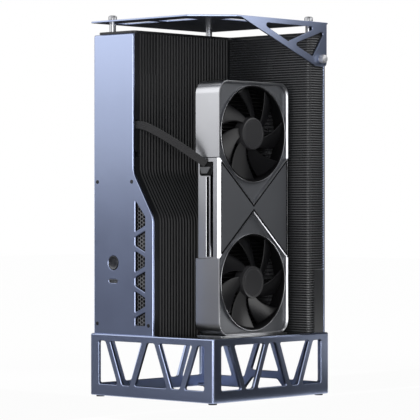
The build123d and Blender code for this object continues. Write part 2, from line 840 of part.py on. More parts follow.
# Rocker switch: a frame with a cross pin, and a rocker that tilts on it
rocker_pin_y = chassis_back - switch_depth / 2
rocker_width = switch_width - 2 * (switch_wall + rocker_gap)
rocker_height = switch_height - 2 * (switch_wall + rocker_gap)
with BuildPart() as switch_frame:
    with BuildSketch(back_plane):
        with Locations((-psu_x, switch_z)):
            Rectangle(switch_width, switch_height)
            Rectangle(switch_width - 2 * switch_wall, switch_height - 2 * switch_wall, mode=Mode.SUBTRACT)
    extrude(amount=-switch_depth)
    pin_start = (psu_x - switch_width / 2, rocker_pin_y, switch_z)
    with BuildSketch(Plane(pin_start, x_dir=(0, 1, 0), z_dir=(1, 0, 0))):
        Circle(rocker_pin_radius)
    extrude(amount=switch_width)
switch_frame.part.label = "switch_frame"
export_step(switch_frame.part, "parts/switch_frame.step")

lean_y = cos(radians(switch_tilt))
lean_z = sin(radians(switch_tilt))
rocker_plane = Plane(
    (psu_x - rocker_width / 2, rocker_pin_y, switch_z), x_dir=(0, lean_y, lean_z), z_dir=(1, 0, 0)
)
rocker_out = switch_depth / 2 + rocker_dish
rocker_end = rocker_height / 2 - 2 * rocker_gap
with BuildPart() as rocker_switch:
    with BuildSketch(rocker_plane) as rocker_side:
        with BuildLine():
            Polyline(
                (-rocker_depth / 4, -rocker_end / 2),
                (rocker_out, -rocker_end),
                (rocker_out - rocker_dish, 0),
                (rocker_out, rocker_end),
                (-rocker_depth / 4, rocker_end / 2),
                close=True,
            )
        make_face()
        Circle(rocker_pin_radius + running_gap, mode=Mode.SUBTRACT)
    extrude(amount=rocker_width)
rocker_switch.part.label = "rocker_switch"
export_step(rocker_switch.part, "parts/rocker_switch.step")

# Ribbed cover of the back wall: a comb section swept along the front and round to the end
wall_rib_count = int((chassis_top - deck_top - wall_rib_margin) / wall_rib_pitch)
slot_low_z = card_bottom + board_low - slot_gap
slot_mid_z = slot_low_z + slot_height / 2
slot_x = board_x + board_thickness / 2
side_screw_z = plate_top - side_screw_drop
side_screw_y = y_back - side_screw_inset


def wall_comb():
    """Section of the wall cover: V-shaped grooves that meet in narrow crests."""
    points = [(wall_inner_y, deck_top), (wall_front_y, deck_top)]
    for index in range(wall_rib_count):
        crest = deck_top + index * wall_rib_pitch
        points.append((wall_front_y + wall_rib_depth, crest + wall_rib_pitch / 2))
        points.append((wall_front_y, crest + wall_rib_pitch))
    points.append((wall_front_y, chassis_top))
    points.append((wall_inner_y, chassis_top))
    return points


wall_start_x = tower_upper_x - tower_cover
with BuildPart() as wall_rib_cover:
    with BuildLine():
        Polyline(
            (wall_start_x, wall_front_y),
            (chassis_right - wall_corner_chamfer, wall_front_y),
            (chassis_right, wall_front_y + wall_corner_chamfer),
            (chassis_right, back_inner_y),
        )
    with BuildSketch(Plane.YZ.offset(wall_start_x)):
        with BuildLine():
            Polyline(*wall_comb(), close=True)
        make_face()
    sweep(transition=Transition.RIGHT)
    with BuildSketch(Plane.YZ.offset(chassis_right)):
        with Locations((back_inner_y, deck_top)):
            patch_width = back_inner_y - wall_front_y - wall_patch_inset
            Rectangle(patch_width, wall_patch_height, align=(Align.MAX, Align.MIN))
    extrude(amount=-(wall_rib_depth + cover_sheet))
    with BuildSketch(Plane.XZ.offset(-wall_front_y)):
        with Locations((slot_x, slot_mid_z)):
            Rectangle(slot_width + 2 * slot_gap, slot_height + 2 * slot_gap)
        with Locations((wall_start_x - cut_over, deck_top - cut_over)):
            notch_width = tower_lower_x - tower_cover - wall_start_x
            Rectangle(notch_width, psu_height + 2 * cut_over, align=(Align.MIN, Align.MIN))
    extrude(amount=-(wall_rib_depth + cover_sheet), mode=Mode.SUBTRACT)
    with BuildSketch(Plane.YZ.offset(chassis_right)):
        with Locations((side_screw_y, side_screw_z)):
            Circle(stud_radius + running_gap)
    extrude(amount=-(wall_rib_depth + cover_sheet), mode=Mode.SUBTRACT)
wall_rib_cover.part.label = "wall_rib_cover"
export_step(wall_rib_cover.part, "parts/wall_rib_cover.step")

# Board inside the wall and the card slot that stands out through it
slot_board_left = side_inner_x + psu_width + slot_board_gap
slot_board_right = slot_x + slot_board_reach
with BuildPart() as slot_board:
    with BuildSketch(Plane.XZ.offset(-wall_inner_y)):
        with Locations(((slot_board_left + slot_board_right) / 2, slot_mid_z)):
            Rectangle(slot_board_right - slot_board_left, slot_board_height)
    extrude(amount=-slot_board_thickness)
slot_board.part.label = "slot_board"
export_step(slot_board.part, "parts/slot_board.step")

slot_face_y = wall_front_y - slot_reach
with BuildPart() as card_slot:
    with BuildSketch(Plane.XZ.offset(-slot_face_y)):
        with Locations((slot_x, slot_mid_z)):
            Rectangle(slot_width, slot_height)
    extrude(amount=-(wall_inner_y - slot_face_y))
    with BuildSketch(Plane.XZ.offset(-slot_face_y)):
        with Locations((slot_x, slot_mid_z)):
            Rectangle(slot_groove, finger_length + 2 * finger_gap)
    extrude(amount=-slot_groove_depth, mode=Mode.SUBTRACT)
card_slot.part.label = "card_slot"
export_step(card_slot.part, "parts/card_slot.step")

# Top cap: an L-shaped plate that closes the tower and the wall
with BuildPart() as top_cap:
    with BuildSketch(Plane.XY.offset(chassis_top)):
        with BuildLine():
            FilletPolyline(
                (chassis_left + cap_inset, chassis_front + cap_inset),
                (tower_upper_x, chassis_front + cap_inset),
                (tower_upper_x, wall_front_y),
                (chassis_right - cap_inset, wall_front_y),
                (chassis_right - cap_inset, chassis_back - cap_inset),
                (chassis_left + cap_inset, chassis_back - cap_inset),
                radius=cap_corner_radius,
                close=True,
            )
        make_face()
    extrude(amount=cap_thickness)
top_cap.part.label = "top_cap"
export_step(top_cap.part, "parts/top_cap.step")

# Top plate with finger slots, folded down at the right into a pierced gusset
post_places = {
    "front": (x_left + post_inset_x, y_front + post_inset_y),
    "left": (x_left + post_inset_x, y_back - post_inset_y),
    "right": (x_right - post_right_inset_x, y_back - post_inset_y),
}
slot_a_x = x_left + plate_slot_a_start
slot_b_x = slot_a_x + plate_slot_a_length + plate_slot_gap
slot_band_y = y_front + plate_slot_border
slot_band_x = x_right - plate_slot_border - plate_slot_width
plate_slots = [
    (slot_a_x, slot_band_y, plate_slot_a_length, plate_slot_width),
    (slot_b_x, slot_band_y, plate_slot_b_length, plate_slot_width),
    (slot_band_x, y_front + plate_slot_c_start, plate_slot_width, plate_slot_c_length),
]
gusset_front_y = y_front + gusset_start
gusset_low_z = plate_top - gusset_drop


def gusset_windows():
    """Outlines of the gusset's two triangular windows, in Y and Z, kept one rail from its edges."""
    upper_z = plate_top - gusset_rail
    knee_y = gusset_front_y + gusset_knee
    knee_z = plate_top - gusset_knee_drop
    far_y = y_back - gusset_upper_end
    upper = [(gusset_front_y + gusset_upper_start, upper_z), (far_y, upper_z), (knee_y, knee_z)]
    lower = [
        (knee_y + gusset_bar, knee_z - gusset_bar_drop),
        (far_y + gusset_lower_reach, upper_z - gusset_lower_drop),
        (far_y - gusset_lower_inset, gusset_low_z + gusset_lower_rail),
    ]
    return [upper, lower]


with BuildPart() as top_plate:
    with BuildSketch(Plane((x_middle, 0, plate_bottom))) as plate_outline:
        Rectangle(base_width, base_depth)
        corners = plate_outline.vertices().sort_by(lambda vertex: vertex.X - vertex.Y)
        chamfer(corners[-1], plate_chamfer)
        fillet(corners[0:3], plate_corner_radius)
    extrude(amount=plate_thickness)
    with BuildSketch(Plane.YZ.offset(x_right - plate_thickness)) as gusset:
        with BuildLine():
            Polyline(
                (gusset_front_y, plate_top - plate_thickness),
                (y_back - gusset_toe, gusset_low_z),
                (y_back - plate_corner_radius, gusset_low_z),
                (y_back - plate_corner_radius, plate_top - plate_thickness),
                close=True,
            )
        make_face()
        fillet(gusset.vertices().group_by(Axis.Y)[0], gusset_corner_radius)
    extrude(amount=plate_thickness)
    for outline in gusset_windows():
        with BuildSketch(Plane.YZ.offset(x_right)) as window:
            with BuildLine():
                Polyline(*outline, close=True)
            make_face()
            fillet(window.vertices(), gusset_hole_radius)
        extrude(amount=-plate_thickness, mode=Mode.SUBTRACT)
    with BuildSketch(Plane.XY.offset(plate_bottom)):
        for slot_left, slot_front, slot_length, slot_depth in plate_slots:
            with Locations((slot_left + slot_length / 2, slot_front + slot_depth / 2)):
                RectangleRounded(slot_length, slot_depth, plate_slot_radius)
        with Locations(*post_places.values()):
            Circle(stud_radius + running_gap)
    extrude(amount=plate_thickness, mode=Mode.SUBTRACT)
    with BuildSketch(Plane.YZ.offset(x_right)):
        with Locations((side_screw_y, side_screw_z)):
            Circle(stud_radius + running_gap)
    extrude(amount=-plate_thickness, mode=Mode.SUBTRACT)
top_plate.part.label = "top_plate"
export_step(top_plate.part, "parts/top_plate.step")

# Posts with threaded studs, the thumb nuts on them, and the screw through the gusset
with BuildPart() as top_posts:
    with BuildSketch(Plane.XY.offset(cap_top)):
        with Locations(*post_places.values()):
            Circle(post_radius)
    extrude(amount=top_gap)
    with BuildSketch(Plane.XY.offset(plate_bottom)):
        with Locations(*post_places.values()):
            Circle(stud_radius)
    extrude(amount=plate_thickness + stud_reach)
top_posts.part.label = "top_posts"
export_step(top_posts.part, "parts/top_posts.step")


def grip_outline(radius):
    """Round grip with a ring of shallow teeth, in the current sketch."""
    points = []
    for index in range(2 * thumb_tooth_count):
        reach = radius - thumb_tooth * (index % 2)
        turn = radians(180 * index / thumb_tooth_count)
        points.append((reach * cos(turn), reach * sin(turn)))
    with BuildSketch(mode=Mode.PRIVATE) as grip:
        with BuildLine():
            Polyline(*points, close=True)
        make_face()
    add(grip.sketch)


for place, (post_x, post_y) in post_places.items():
    with BuildPart() as thumb_nut:
        with BuildSketch(Plane((post_x, post_y, plate_top))):
            grip_outline(thumb_radius)
        extrude(amount=thumb_height)
        with BuildSketch(Plane((post_x, post_y, plate_top))):
            Circle(stud_radius + running_gap)
        extrude(amount=stud_reach + cut_over, mode=Mode.SUBTRACT)
    thumb_nut.part.label = f"thumb_nut_{place}"
    export_step(thumb_nut.part, f"parts/thumb_nut_{place}.step")

with BuildPart() as side_screw:
    with BuildSketch(Plane((x_right, side_screw_y, side_screw_z), x_dir=(0, 1, 0), z_dir=(1, 0, 0))):
        grip_outline(side_screw_radius)
    extrude(amount=side_screw_reach)
    with BuildSketch(Plane((x_right, side_screw_y, side_screw_z), x_dir=(0, 1, 0), z_dir=(1, 0, 0))):
        Circle(stud_radius)
    extrude(amount=-side_screw_shank)
side_screw.part.label = "side_screw"
export_step(side_screw.part, "parts/side_screw.step")


# Graphics card, drawn on its face: across is +Y, up is +Z, both from the card's middle
def card_plane(x):
    """Plane parallel to the card's face at one X, centred on the card."""
    return Plane((x, card_mid_y, card_mid_z), x_dir=(0, 1, 0), z_dir=(1, 0, 0))


def fan_pocket(way, gap):
    """Home-plate pocket round one fan, pointing at the card's middle, in the current sketch."""
    half = card_width / 2 - card_rim - gap
    end = card_length / 2 - card_rim - gap
    with BuildSketch(mode=Mode.PRIVATE) as pocket:
        with BuildLine():
            Polyline(
                (-half, way * (card_shoulder + gap)),
                (0, way * (card_tip + gap)),
                (half, way * (card_shoulder + gap)),
                (half, way * end),
                (-half, way * end),
                close=True,
            )
        make_face()
        corners = pocket.vertices().sort_by(lambda vertex: vertex.Y * way)
        fillet(corners[-2:], card_corner_radius - card_rim)
        fillet(corners[0], card_tip_radius)
    add(pocket.sketch)


def centre_panel_outline(gap):
    """Bow-tie between the two pockets, a trim's width from their slanted edges."""
    front = card_width / 2 - card_front_bevel - gap
    rear = card_width / 2 - card_rim - gap
    waist = card_tip - card_trim - gap
    front_rise = waist + front / tan(pocket_lean)
    rear_rise = waist + rear / tan(pocket_lean)
    with BuildSketch(mode=Mode.PRIVATE) as bow_tie:
        with BuildLine():
            Polyline(
                (-front, front_rise),
                (0, waist),
                (rear, rear_rise),
                (rear, -rear_rise),
                (0, -waist),
                (-front, -front_rise),
                close=True,
            )
        make_face()
    add(bow_tie.sketch)


card_inner_width = card_width - 2 * card_wall
card_inner_length = card_length - 2 * card_wall
edge_plane = Plane((card_face_x, card_front_y, card_mid_z), x_dir=(1, 0, 0), z_dir=(0, -1, 0))
power_socket_x = -(power_socket_face_inset + power_socket_width / 2)
power_socket_z = power_socket_top - power_socket_height / 2

with BuildPart() as card_frame:
    with BuildSketch(card_plane(card_back_x)):
        RectangleRounded(card_width, card_length, card_corner_radius)
    extrude(amount=card_thickness)
    chamfer(card_frame.faces().sort_by(Axis.X)[-1].edges(), card_edge_chamfer)
    with BuildSketch(card_plane(card_back_x)):
        RectangleRounded(card_inner_width, card_inner_length, card_corner_radius - card_wall)
    extrude(amount=card_thickness - card_face_depth, mode=Mode.SUBTRACT)
    with BuildSketch(card_plane(face_back_x)):
        fan_pocket(1, 0)
        fan_pocket(-1, 0)
    extrude(amount=card_face_depth, mode=Mode.SUBTRACT)
    pocket_rims = card_frame.faces().sort_by(Axis.X)[-1].inner_wires()
    chamfer(pocket_rims.edges(), card_pocket_chamfer)
    with BuildSketch(card_plane(card_face_x)):
        centre_panel_outline(0)
    extrude(amount=-card_panel_thickness, mode=Mode.SUBTRACT)
    with BuildSketch(Plane.XY.offset(card_mid_z - card_shoulder)):
        for corner_y, bevel in ((card_front_y, card_front_bevel), (card_rear_y, -card_rear_bevel)):
            with BuildSketch(mode=Mode.PRIVATE) as bevel_corner:
                with BuildLine():
                    Polyline(
                        (card_face_x, corner_y),
                        (card_face_x, corner_y + bevel),
                        (card_face_x - abs(bevel), corner_y),
                        close=True,
                    )
                make_face()
            add(bevel_corner.sketch)
    extrude(amount=2 * card_shoulder, mode=Mode.SUBTRACT)
    with BuildSketch(edge_plane):
        Rectangle(card_thickness, 2 * card_shoulder, align=(Align.MAX, Align.CENTER))
    extrude(amount=-edge_recess, mode=Mode.SUBTRACT)
    with BuildSketch(edge_plane):
        for offset in edge_slot_offsets:
            with Locations((-offset, edge_slot_top)):
                Rectangle(edge_slot_width, edge_slot_length, align=(Align.MAX, Align.MAX))
        with Locations((power_socket_x, power_socket_z)):
            Rectangle(power_socket_width, power_socket_height)
        with Locations((-card_thickness, 0)):
            Rectangle(card_back_step, 2 * card_shoulder, align=(Align.MIN, Align.CENTER))
    extrude(amount=-card_wall, mode=Mode.SUBTRACT)
    with BuildSketch(Plane.XZ.offset(-card_rear_y)):
        with Locations((slot_x, slot_mid_z)):
            Rectangle(board_thickness + finger_gap, finger_length + finger_gap)
    extrude(amount=card_wall, mode=Mode.SUBTRACT)
    with BuildSketch(Plane((deck_opening_x, card_mid_y, card_bottom))):
        Rectangle(socket_height + socket_wall, socket_count * socket_pitch)
    extrude(amount=card_wall, mode=Mode.SUBTRACT)
card_frame.part.label = "card_frame"
export_step(card_frame.part, "parts/card_frame.step")

with BuildPart() as card_centre_panel:
    with BuildSketch(card_plane(card_face_x)):
        centre_panel_outline(card_fit_gap)
    extrude(amount=-card_panel_thickness)
card_centre_panel.part.label = "card_centre_panel"
export_step(card_centre_panel.part, "parts/card_centre_panel.step")

for place, way in (("upper", 1), ("lower", -1)):
    with BuildPart() as fan_plate:
        with BuildSketch(card_plane(face_back_x)):
            fan_pocket(way, card_fit_gap)
            with Locations((0, way * fan_spacing / 2)):
                Circle(fan_opening_radius, mode=Mode.SUBTRACT)
        extrude(amount=card_face_depth - card_pocket_depth)
    fan_plate.part.label = f"fan_plate_{place}"
    export_step(fan_plate.part, f"parts/fan_plate_{place}.step")

with BuildPart() as fan_trim_rings:
    with BuildSketch(card_plane(face_back_x)):
        with Locations((0, fan_spacing / 2), (0, -fan_spacing / 2)):
            Circle(fan_opening_radius)
            Circle(fan_opening_radius - fan_ring_width, mode=Mode.SUBTRACT)
    extrude(amount=card_face_depth - card_pocket_depth + fan_ring_proud)
fan_trim_rings.part.label = "fan_trim_rings"
export_step(fan_trim_rings.part, "parts/fan_trim_rings.step")

# Fans: a motor with its shaft on the cooler, and a rotor of swept, cambered blades
fan_blade_root = fan_hub_radius - 2 * fan_blade_thickness
blade_stations = [
    (fan_blade_root, fan_start_angle),
    ((fan_blade_root + fan_tip_radius) / 2, fan_start_angle + fan_middle_sweep_angle),
    (fan_tip_radius, fan_start_angle + fan_tip_sweep_angle),
]


def fan_point(radius, angle):
    """Point in a fan's plane, across and up from its axis."""
    return (radius * cos(radians(angle)), radius * sin(radians(angle)))


def blade_outline():
    """One swept blade seen along the fan's axis, in the current sketch."""
    half = fan_blade_span_angle / 2
    trailing = [fan_point(radius, angle - half) for radius, angle in blade_stations]
    leading = [fan_point(radius, angle + half) for radius, angle in blade_stations]
    with BuildSketch(mode=Mode.PRIVATE) as outline:
        with BuildLine():
            ThreePointArc(*trailing)
            ThreePointArc(trailing[-1], fan_point(*blade_stations[-1]), leading[-1])
            ThreePointArc(*reversed(leading))
            Line(leading[0], trailing[0])
        make_face()
    add(outline.sketch)


def blade_plane(centre):
    """Section plane at a blade's root, facing along the blade, its X rising to the leading edge."""
    root = Vector(0, *fan_point(*blade_stations[0]))
    tip = Vector(0, *fan_point(*blade_stations[-1]))
    along = (tip - root).normalized()
    across = Vector(1, 0, 0).cross(along)
    pitch = radians(fan_blade_pitch_angle)
    chord = across * cos(pitch) + Vector(sin(pitch), 0, 0)
    return Plane(centre + root - along * fan_blade_root, x_dir=chord, z_dir=along)


motor_front_x = fin_tip_x + fan_motor_thickness
hub_back_x = motor_front_x + fan_axial_gap

for place, fan_z in fan_heights.items():
    fan_back = Plane((fin_tip_x, card_mid_y, fan_z), x_dir=(0, 1, 0), z_dir=(1, 0, 0))
    with BuildPart() as fan_motor:
        with BuildSketch(fan_back):
            Circle(fan_motor_radius)
        extrude(amount=fan_motor_thickness)
        with BuildSketch(fan_back):
            Circle(fan_shaft_radius)
        extrude(amount=fan_motor_thickness + fan_shaft_length)
    fan_motor.part.label = f"fan_motor_{place}"
    export_step(fan_motor.part, f"parts/fan_motor_{place}.step")

    hub_plane = fan_back.offset(fan_motor_thickness + fan_axial_gap)
    blade_centre = Vector(hub_back_x + fan_hub_height / 2, card_mid_y, fan_z)
    with BuildPart() as fan_blade:
        with BuildSketch(blade_plane(blade_centre)):
            with BuildLine():
                SagittaArc((-fan_blade_chord / 2, 0), (fan_blade_chord / 2, 0), fan_blade_camber)
            trace(line_width=fan_blade_thickness)
        extrude(amount=fan_blade_root + 2 * fan_tip_radius)
        with BuildSketch(hub_plane):
            blade_outline()
        extrude(amount=fan_hub_height, mode=Mode.INTERSECT)

    fan_axis = Axis(blade_centre, (1, 0, 0))
    with BuildPart() as fan_rotor:
        with BuildSketch(hub_plane):
            Circle(fan_hub_radius)
        extrude(amount=fan_hub_height)
        chamfer(fan_rotor.faces().sort_by(Axis.X)[-1].edges(), fan_hub_chamfer)
        for blade in range(fan_blade_count):
            add(fan_blade.part.rotate(fan_axis, blade * 360 / fan_blade_count))
        with BuildSketch(hub_plane):
            Circle(fan_shaft_radius + running_gap)
        extrude(amount=fan_shaft_length, mode=Mode.SUBTRACT)
    fan_rotor.part.label = f"fan_rotor_{place}"
    export_step(fan_rotor.part, f"parts/fan_rotor_{place}.step")

# Cooler: a spine plate the length of the card, with a fin stack behind each fan
cooler_low = card_bottom + card_wall + cooler_margin
cooler_high = card_bottom + card_length - card_wall - cooler_margin
fin_count = int(fin_zone / fin_pitch)
with BuildPart() as card_heatsink:
    with BuildSketch(Plane.XZ.offset(-card_front_y)):
        with Locations((spine_back_x, cooler_low)):
            Rectangle(fin_spine, cooler_high - cooler_low, align=(Align.MIN, Align.MIN))
        for index in range(fin_count):
            step = index * fin_pitch
            for foot in (cooler_low + step, cooler_high - fin_thickness - step):
                with Locations((spine_back_x, foot)):
                    Rectangle(fin_spine + fin_length, fin_thickness, align=(Align.MIN, Align.MIN))
    extrude(amount=-card_width)
    with BuildSketch(card_plane(card_back_x)):
        RectangleRounded(card_inner_width, card_inner_length, card_corner_radius - card_wall)
    extrude(amount=card_thickness, mode=Mode.INTERSECT)
    with BuildSketch(edge_plane):
        with Locations((power_socket_x, power_socket_z)):
            Rectangle(power_socket_width + 2 * slot_gap, power_socket_height + 2 * slot_gap)
    extrude(amount=-(card_wall + power_socket_depth + slot_gap), mode=Mode.SUBTRACT)
card_heatsink.part.label = "card_heatsink"
export_step(card_heatsink.part, "parts/card_heatsink.step")

with BuildPart() as card_backplate:
    with BuildSketch(card_plane(card_back_x)):
        inner_radius = card_corner_radius - card_wall
        backplate_width = card_inner_width - 2 * card_fit_gap
        backplate_length = card_inner_length - 2 * card_fit_gap
        RectangleRounded(backplate_width, backplate_length, inner_radius)
        with Locations((0, fan_spacing / 2), (0, -fan_spacing / 2)):
            window_size = (backplate_window_width, backplate_window_height)
            RectangleRounded(*window_size, inner_radius, mode=Mode.SUBTRACT)
    extrude(amount=backplate_thickness)
card_backplate.part.label = "card_backplate"
export_step(card_backplate.part, "parts/card_backplate.step")

board_mid_z = card_bottom + board_low + board_length / 2
board_rear_y = card_rear_y - card_wall - cooler_margin
with BuildPart() as card_board:
    with BuildSketch(Plane.YZ.offset(board_x)):
        with Locations((board_rear_y, board_mid_z)):
            board_run = board_rear_y - card_front_y - board_front_inset
            Rectangle(board_run, board_length, align=(Align.MAX, Align.CENTER))
        with Locations((board_rear_y - cut_over, slot_mid_z)):
            finger_run = card_rear_y + finger_reach - board_rear_y + cut_over
            Rectangle(finger_run, finger_length, align=(Align.MIN, Align.CENTER))
    extrude(amount=board_thickness)
card_board.part.label = "card_board"
export_step(card_board.part, "parts/card_board.step")

with BuildPart() as graphics_chip:
    with BuildSketch(card_plane(board_x + board_thickness)):
        Rectangle(chip_size, chip_size)
    extrude(amount=spine_back_x - board_x - board_thickness)
graphics_chip.part.label = "graphics_chip"
export_step(graphics_chip.part, "parts/graphics_chip.step")

# Bracket on the deck and the display sockets that look down through the deck's opening
socket_places = [(0, (index - (socket_count - 1) / 2) * socket_pitch) for index in range(socket_count)]
bracket_plane = Plane((deck_opening_x, card_mid_y, deck_top))
with BuildPart() as card_bracket:
    with BuildSketch(bracket_plane):
        Rectangle(card_thickness, card_width - 2 * bracket_margin)
        with Locations(*socket_places):
            Rectangle(socket_height, socket_width, mode=Mode.SUBTRACT)
    extrude(amount=bracket_thickness)
card_bracket.part.label = "card_bracket"
export_step(card_bracket.part, "parts/card_bracket.step")

with BuildPart() as display_sockets:
    with BuildSketch(bracket_plane):
        with Locations(*socket_places):
            Rectangle(socket_height, socket_width)
    extrude(amount=bracket_thickness + card_wall)
    with BuildSketch(bracket_plane):
        with Locations(*socket_places):
            Rectangle(socket_height - 2 * socket_wall, socket_width - 2 * socket_wall)
    extrude(amount=bracket_thickness + card_wall - socket_wall, mode=Mode.SUBTRACT)
display_sockets.part.label = "display_sockets"
export_step(display_sockets.part, "parts/display_sockets.step")

# Power socket in the card's front edge, the plug in it, and the cable from the tower
with BuildPart() as card_power_socket:
    with BuildSketch(edge_plane.offset(-card_wall)):
        with Locations((power_socket_x, power_socket_z)):
            Rectangle(power_socket_width, power_socket_height)
    extrude(amount=-power_socket_depth)
card_power_socket.part.label = "card_power_socket"
export_step(card_power_socket.part, "parts/card_power_socket.step")

with BuildPart() as power_plug:
    with BuildSketch(edge_plane.offset(power_plug_reach)):
        with Locations((power_socket_x, power_socket_z)):
            plug_width = power_socket_width - 2 * plug_gap
            plug_height = power_socket_height - 2 * plug_gap
            RectangleRounded(plug_width, plug_height, plug_corner_radius)
    extrude(amount=-(power_plug_reach + card_wall))
power_plug.part.label = "power_plug"
export_step(power_plug.part, "parts/power_plug.step")

cable_route = [
    (tower_upper_x - cable_tail, panel_back_y + cable_slot_width / 2, cable_slot_z),
    (tower_upper_x + cable_lead, panel_back_y + cable_slot_width / 2, cable_slot_z - cable_droop),
    (-12.0, -93.0, 323.5),
    (4.0, -87.0, 314.5),
    (20.0, -80.5, 304.0),
    (30.0, -75.5, 295.5),
    (40.0, -69.0, 286.5),
    (46.0, -62.5, 278.0),
]
cable_points = [Vector(*point) for point in cable_route]
cable_radii = []
for before, corner, after in zip(cable_points, cable_points[1:], cable_points[2:]):
    turn = (corner - before).get_angle(after - corner)
    shorter = min((corner - before).length, (after - corner).length)
    cable_radii.append(0.45 * shorter / tan(radians(turn / 2)))
print("cable bend radii:", [round(radius, 1) for radius in cable_radii])
with BuildPart() as power_cable:
    with BuildLine() as cable_line:
        FilletPolyline(*cable_points, radius=cable_radii)
    with BuildSketch(Plane(cable_line.line @ 0, z_dir=cable_line.line % 0)):
        Circle(cable_radius)
    sweep()
power_cable.part.label = "power_cable"
export_step(power_cable.part, "parts/power_cable.step")
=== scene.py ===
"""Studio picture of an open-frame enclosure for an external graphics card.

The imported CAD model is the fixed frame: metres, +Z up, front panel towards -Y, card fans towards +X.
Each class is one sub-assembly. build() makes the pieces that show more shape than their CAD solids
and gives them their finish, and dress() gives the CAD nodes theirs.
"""

import logging
from collections.abc import Iterable, Iterator, Sequence
from dataclasses import dataclass
from enum import Enum
from functools import cached_property
from math import cos, pi, radians, sin, sqrt, tan, tau
from typing import Any

import bmesh
import bpy
from mathutils import Matrix, Vector


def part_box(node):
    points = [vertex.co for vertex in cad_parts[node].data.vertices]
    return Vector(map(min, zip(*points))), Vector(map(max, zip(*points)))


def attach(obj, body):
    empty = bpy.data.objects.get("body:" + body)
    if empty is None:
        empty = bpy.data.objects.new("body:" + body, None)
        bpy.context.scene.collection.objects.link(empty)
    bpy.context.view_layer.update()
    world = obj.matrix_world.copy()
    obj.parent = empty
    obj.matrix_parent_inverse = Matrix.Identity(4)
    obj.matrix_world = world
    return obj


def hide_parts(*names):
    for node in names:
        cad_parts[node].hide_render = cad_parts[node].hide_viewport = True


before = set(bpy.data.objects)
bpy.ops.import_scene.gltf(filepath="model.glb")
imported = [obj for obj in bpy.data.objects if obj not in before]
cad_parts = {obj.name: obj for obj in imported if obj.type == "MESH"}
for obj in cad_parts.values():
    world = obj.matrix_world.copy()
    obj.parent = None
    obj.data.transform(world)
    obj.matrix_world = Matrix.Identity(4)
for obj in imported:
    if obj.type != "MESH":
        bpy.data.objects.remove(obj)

MM = 0.001
IMAGE_PIXELS = 420
WAVE_RADIANS = 20  # what a wave texture turns in a metre at scale 1
SAME_CORNER_MM = 0.002  # corners of a CAD mesh that are nearer are one corner
FLAT_DEGREES = 1.0  # facets of a CAD mesh that meet at less are one face
WALL_TILT = 0.3  # most that a wall's normal leans along the opening it lines
EDGE_DEGREES = 28.0  # folds sharper than this are edges, and the facets of round corners aren't
EDGE_PROFILE = 0.25  # flatter than the 0.5 of a round
# Widths of broken edges, in millimetres.
FINE_EDGE = 0.2
MOULD_EDGE = 0.3
SHEET_EDGE = 0.4
log = logging.getLogger("enclosure")
Point = tuple[float, float]
Spot = tuple[float, float, float]


def linear(hex_colour: str) -> tuple[float, float, float, float]:
    """Turn an sRGB hex colour into linear RGBA.

    Args:
        hex_colour: a colour such as "#8c97b5".

    Returns:
        The red, green and blue shares of light, and an alpha of 1.
    """
    shares = [int(hex_colour[start:start + 2], 16) / 255 for start in (1, 3, 5)]
    red, green, blue = (s / 12.92 if s <= 0.04045 else ((s + 0.055) / 1.055) ** 2.4 for s in shares)
    return red, green, blue, 1.0


def add_node(
    tree: bpy.types.NodeTree, kind: str, inputs: dict | None = None, **settings: Any
) -> bpy.types.Node:
    """Add one shader node with its settings, socket values and links.

    Args:
        tree: the node tree that takes the node.
        kind: Blender's name of the node type.
        inputs: a value or another node's output for each socket, by name or number.
        settings: the node's own options.

    Returns:
        The new node.
    """
    node = tree.nodes.new(kind)
    for option, value in settings.items():
        setattr(node, option, value)
    for socket, value in (inputs or {}).items():
        if isinstance(value, bpy.types.NodeSocket):
            tree.links.new(value, node.inputs[socket])
        else:
            node.inputs[socket].default_value = value
    return node


class Relief(Enum):
    """How a surface was made, which gives its fine relief."""

    BLASTED = "fine even grit"
    MOULDED = "spark-eroded mould texture"
    POWDER = "orange peel of a baked coat"
    BRUSHED = "lines along one axis"
    SPUN = "rings round a turned face"
    BRAIDED = "crossing threads of a sleeve"


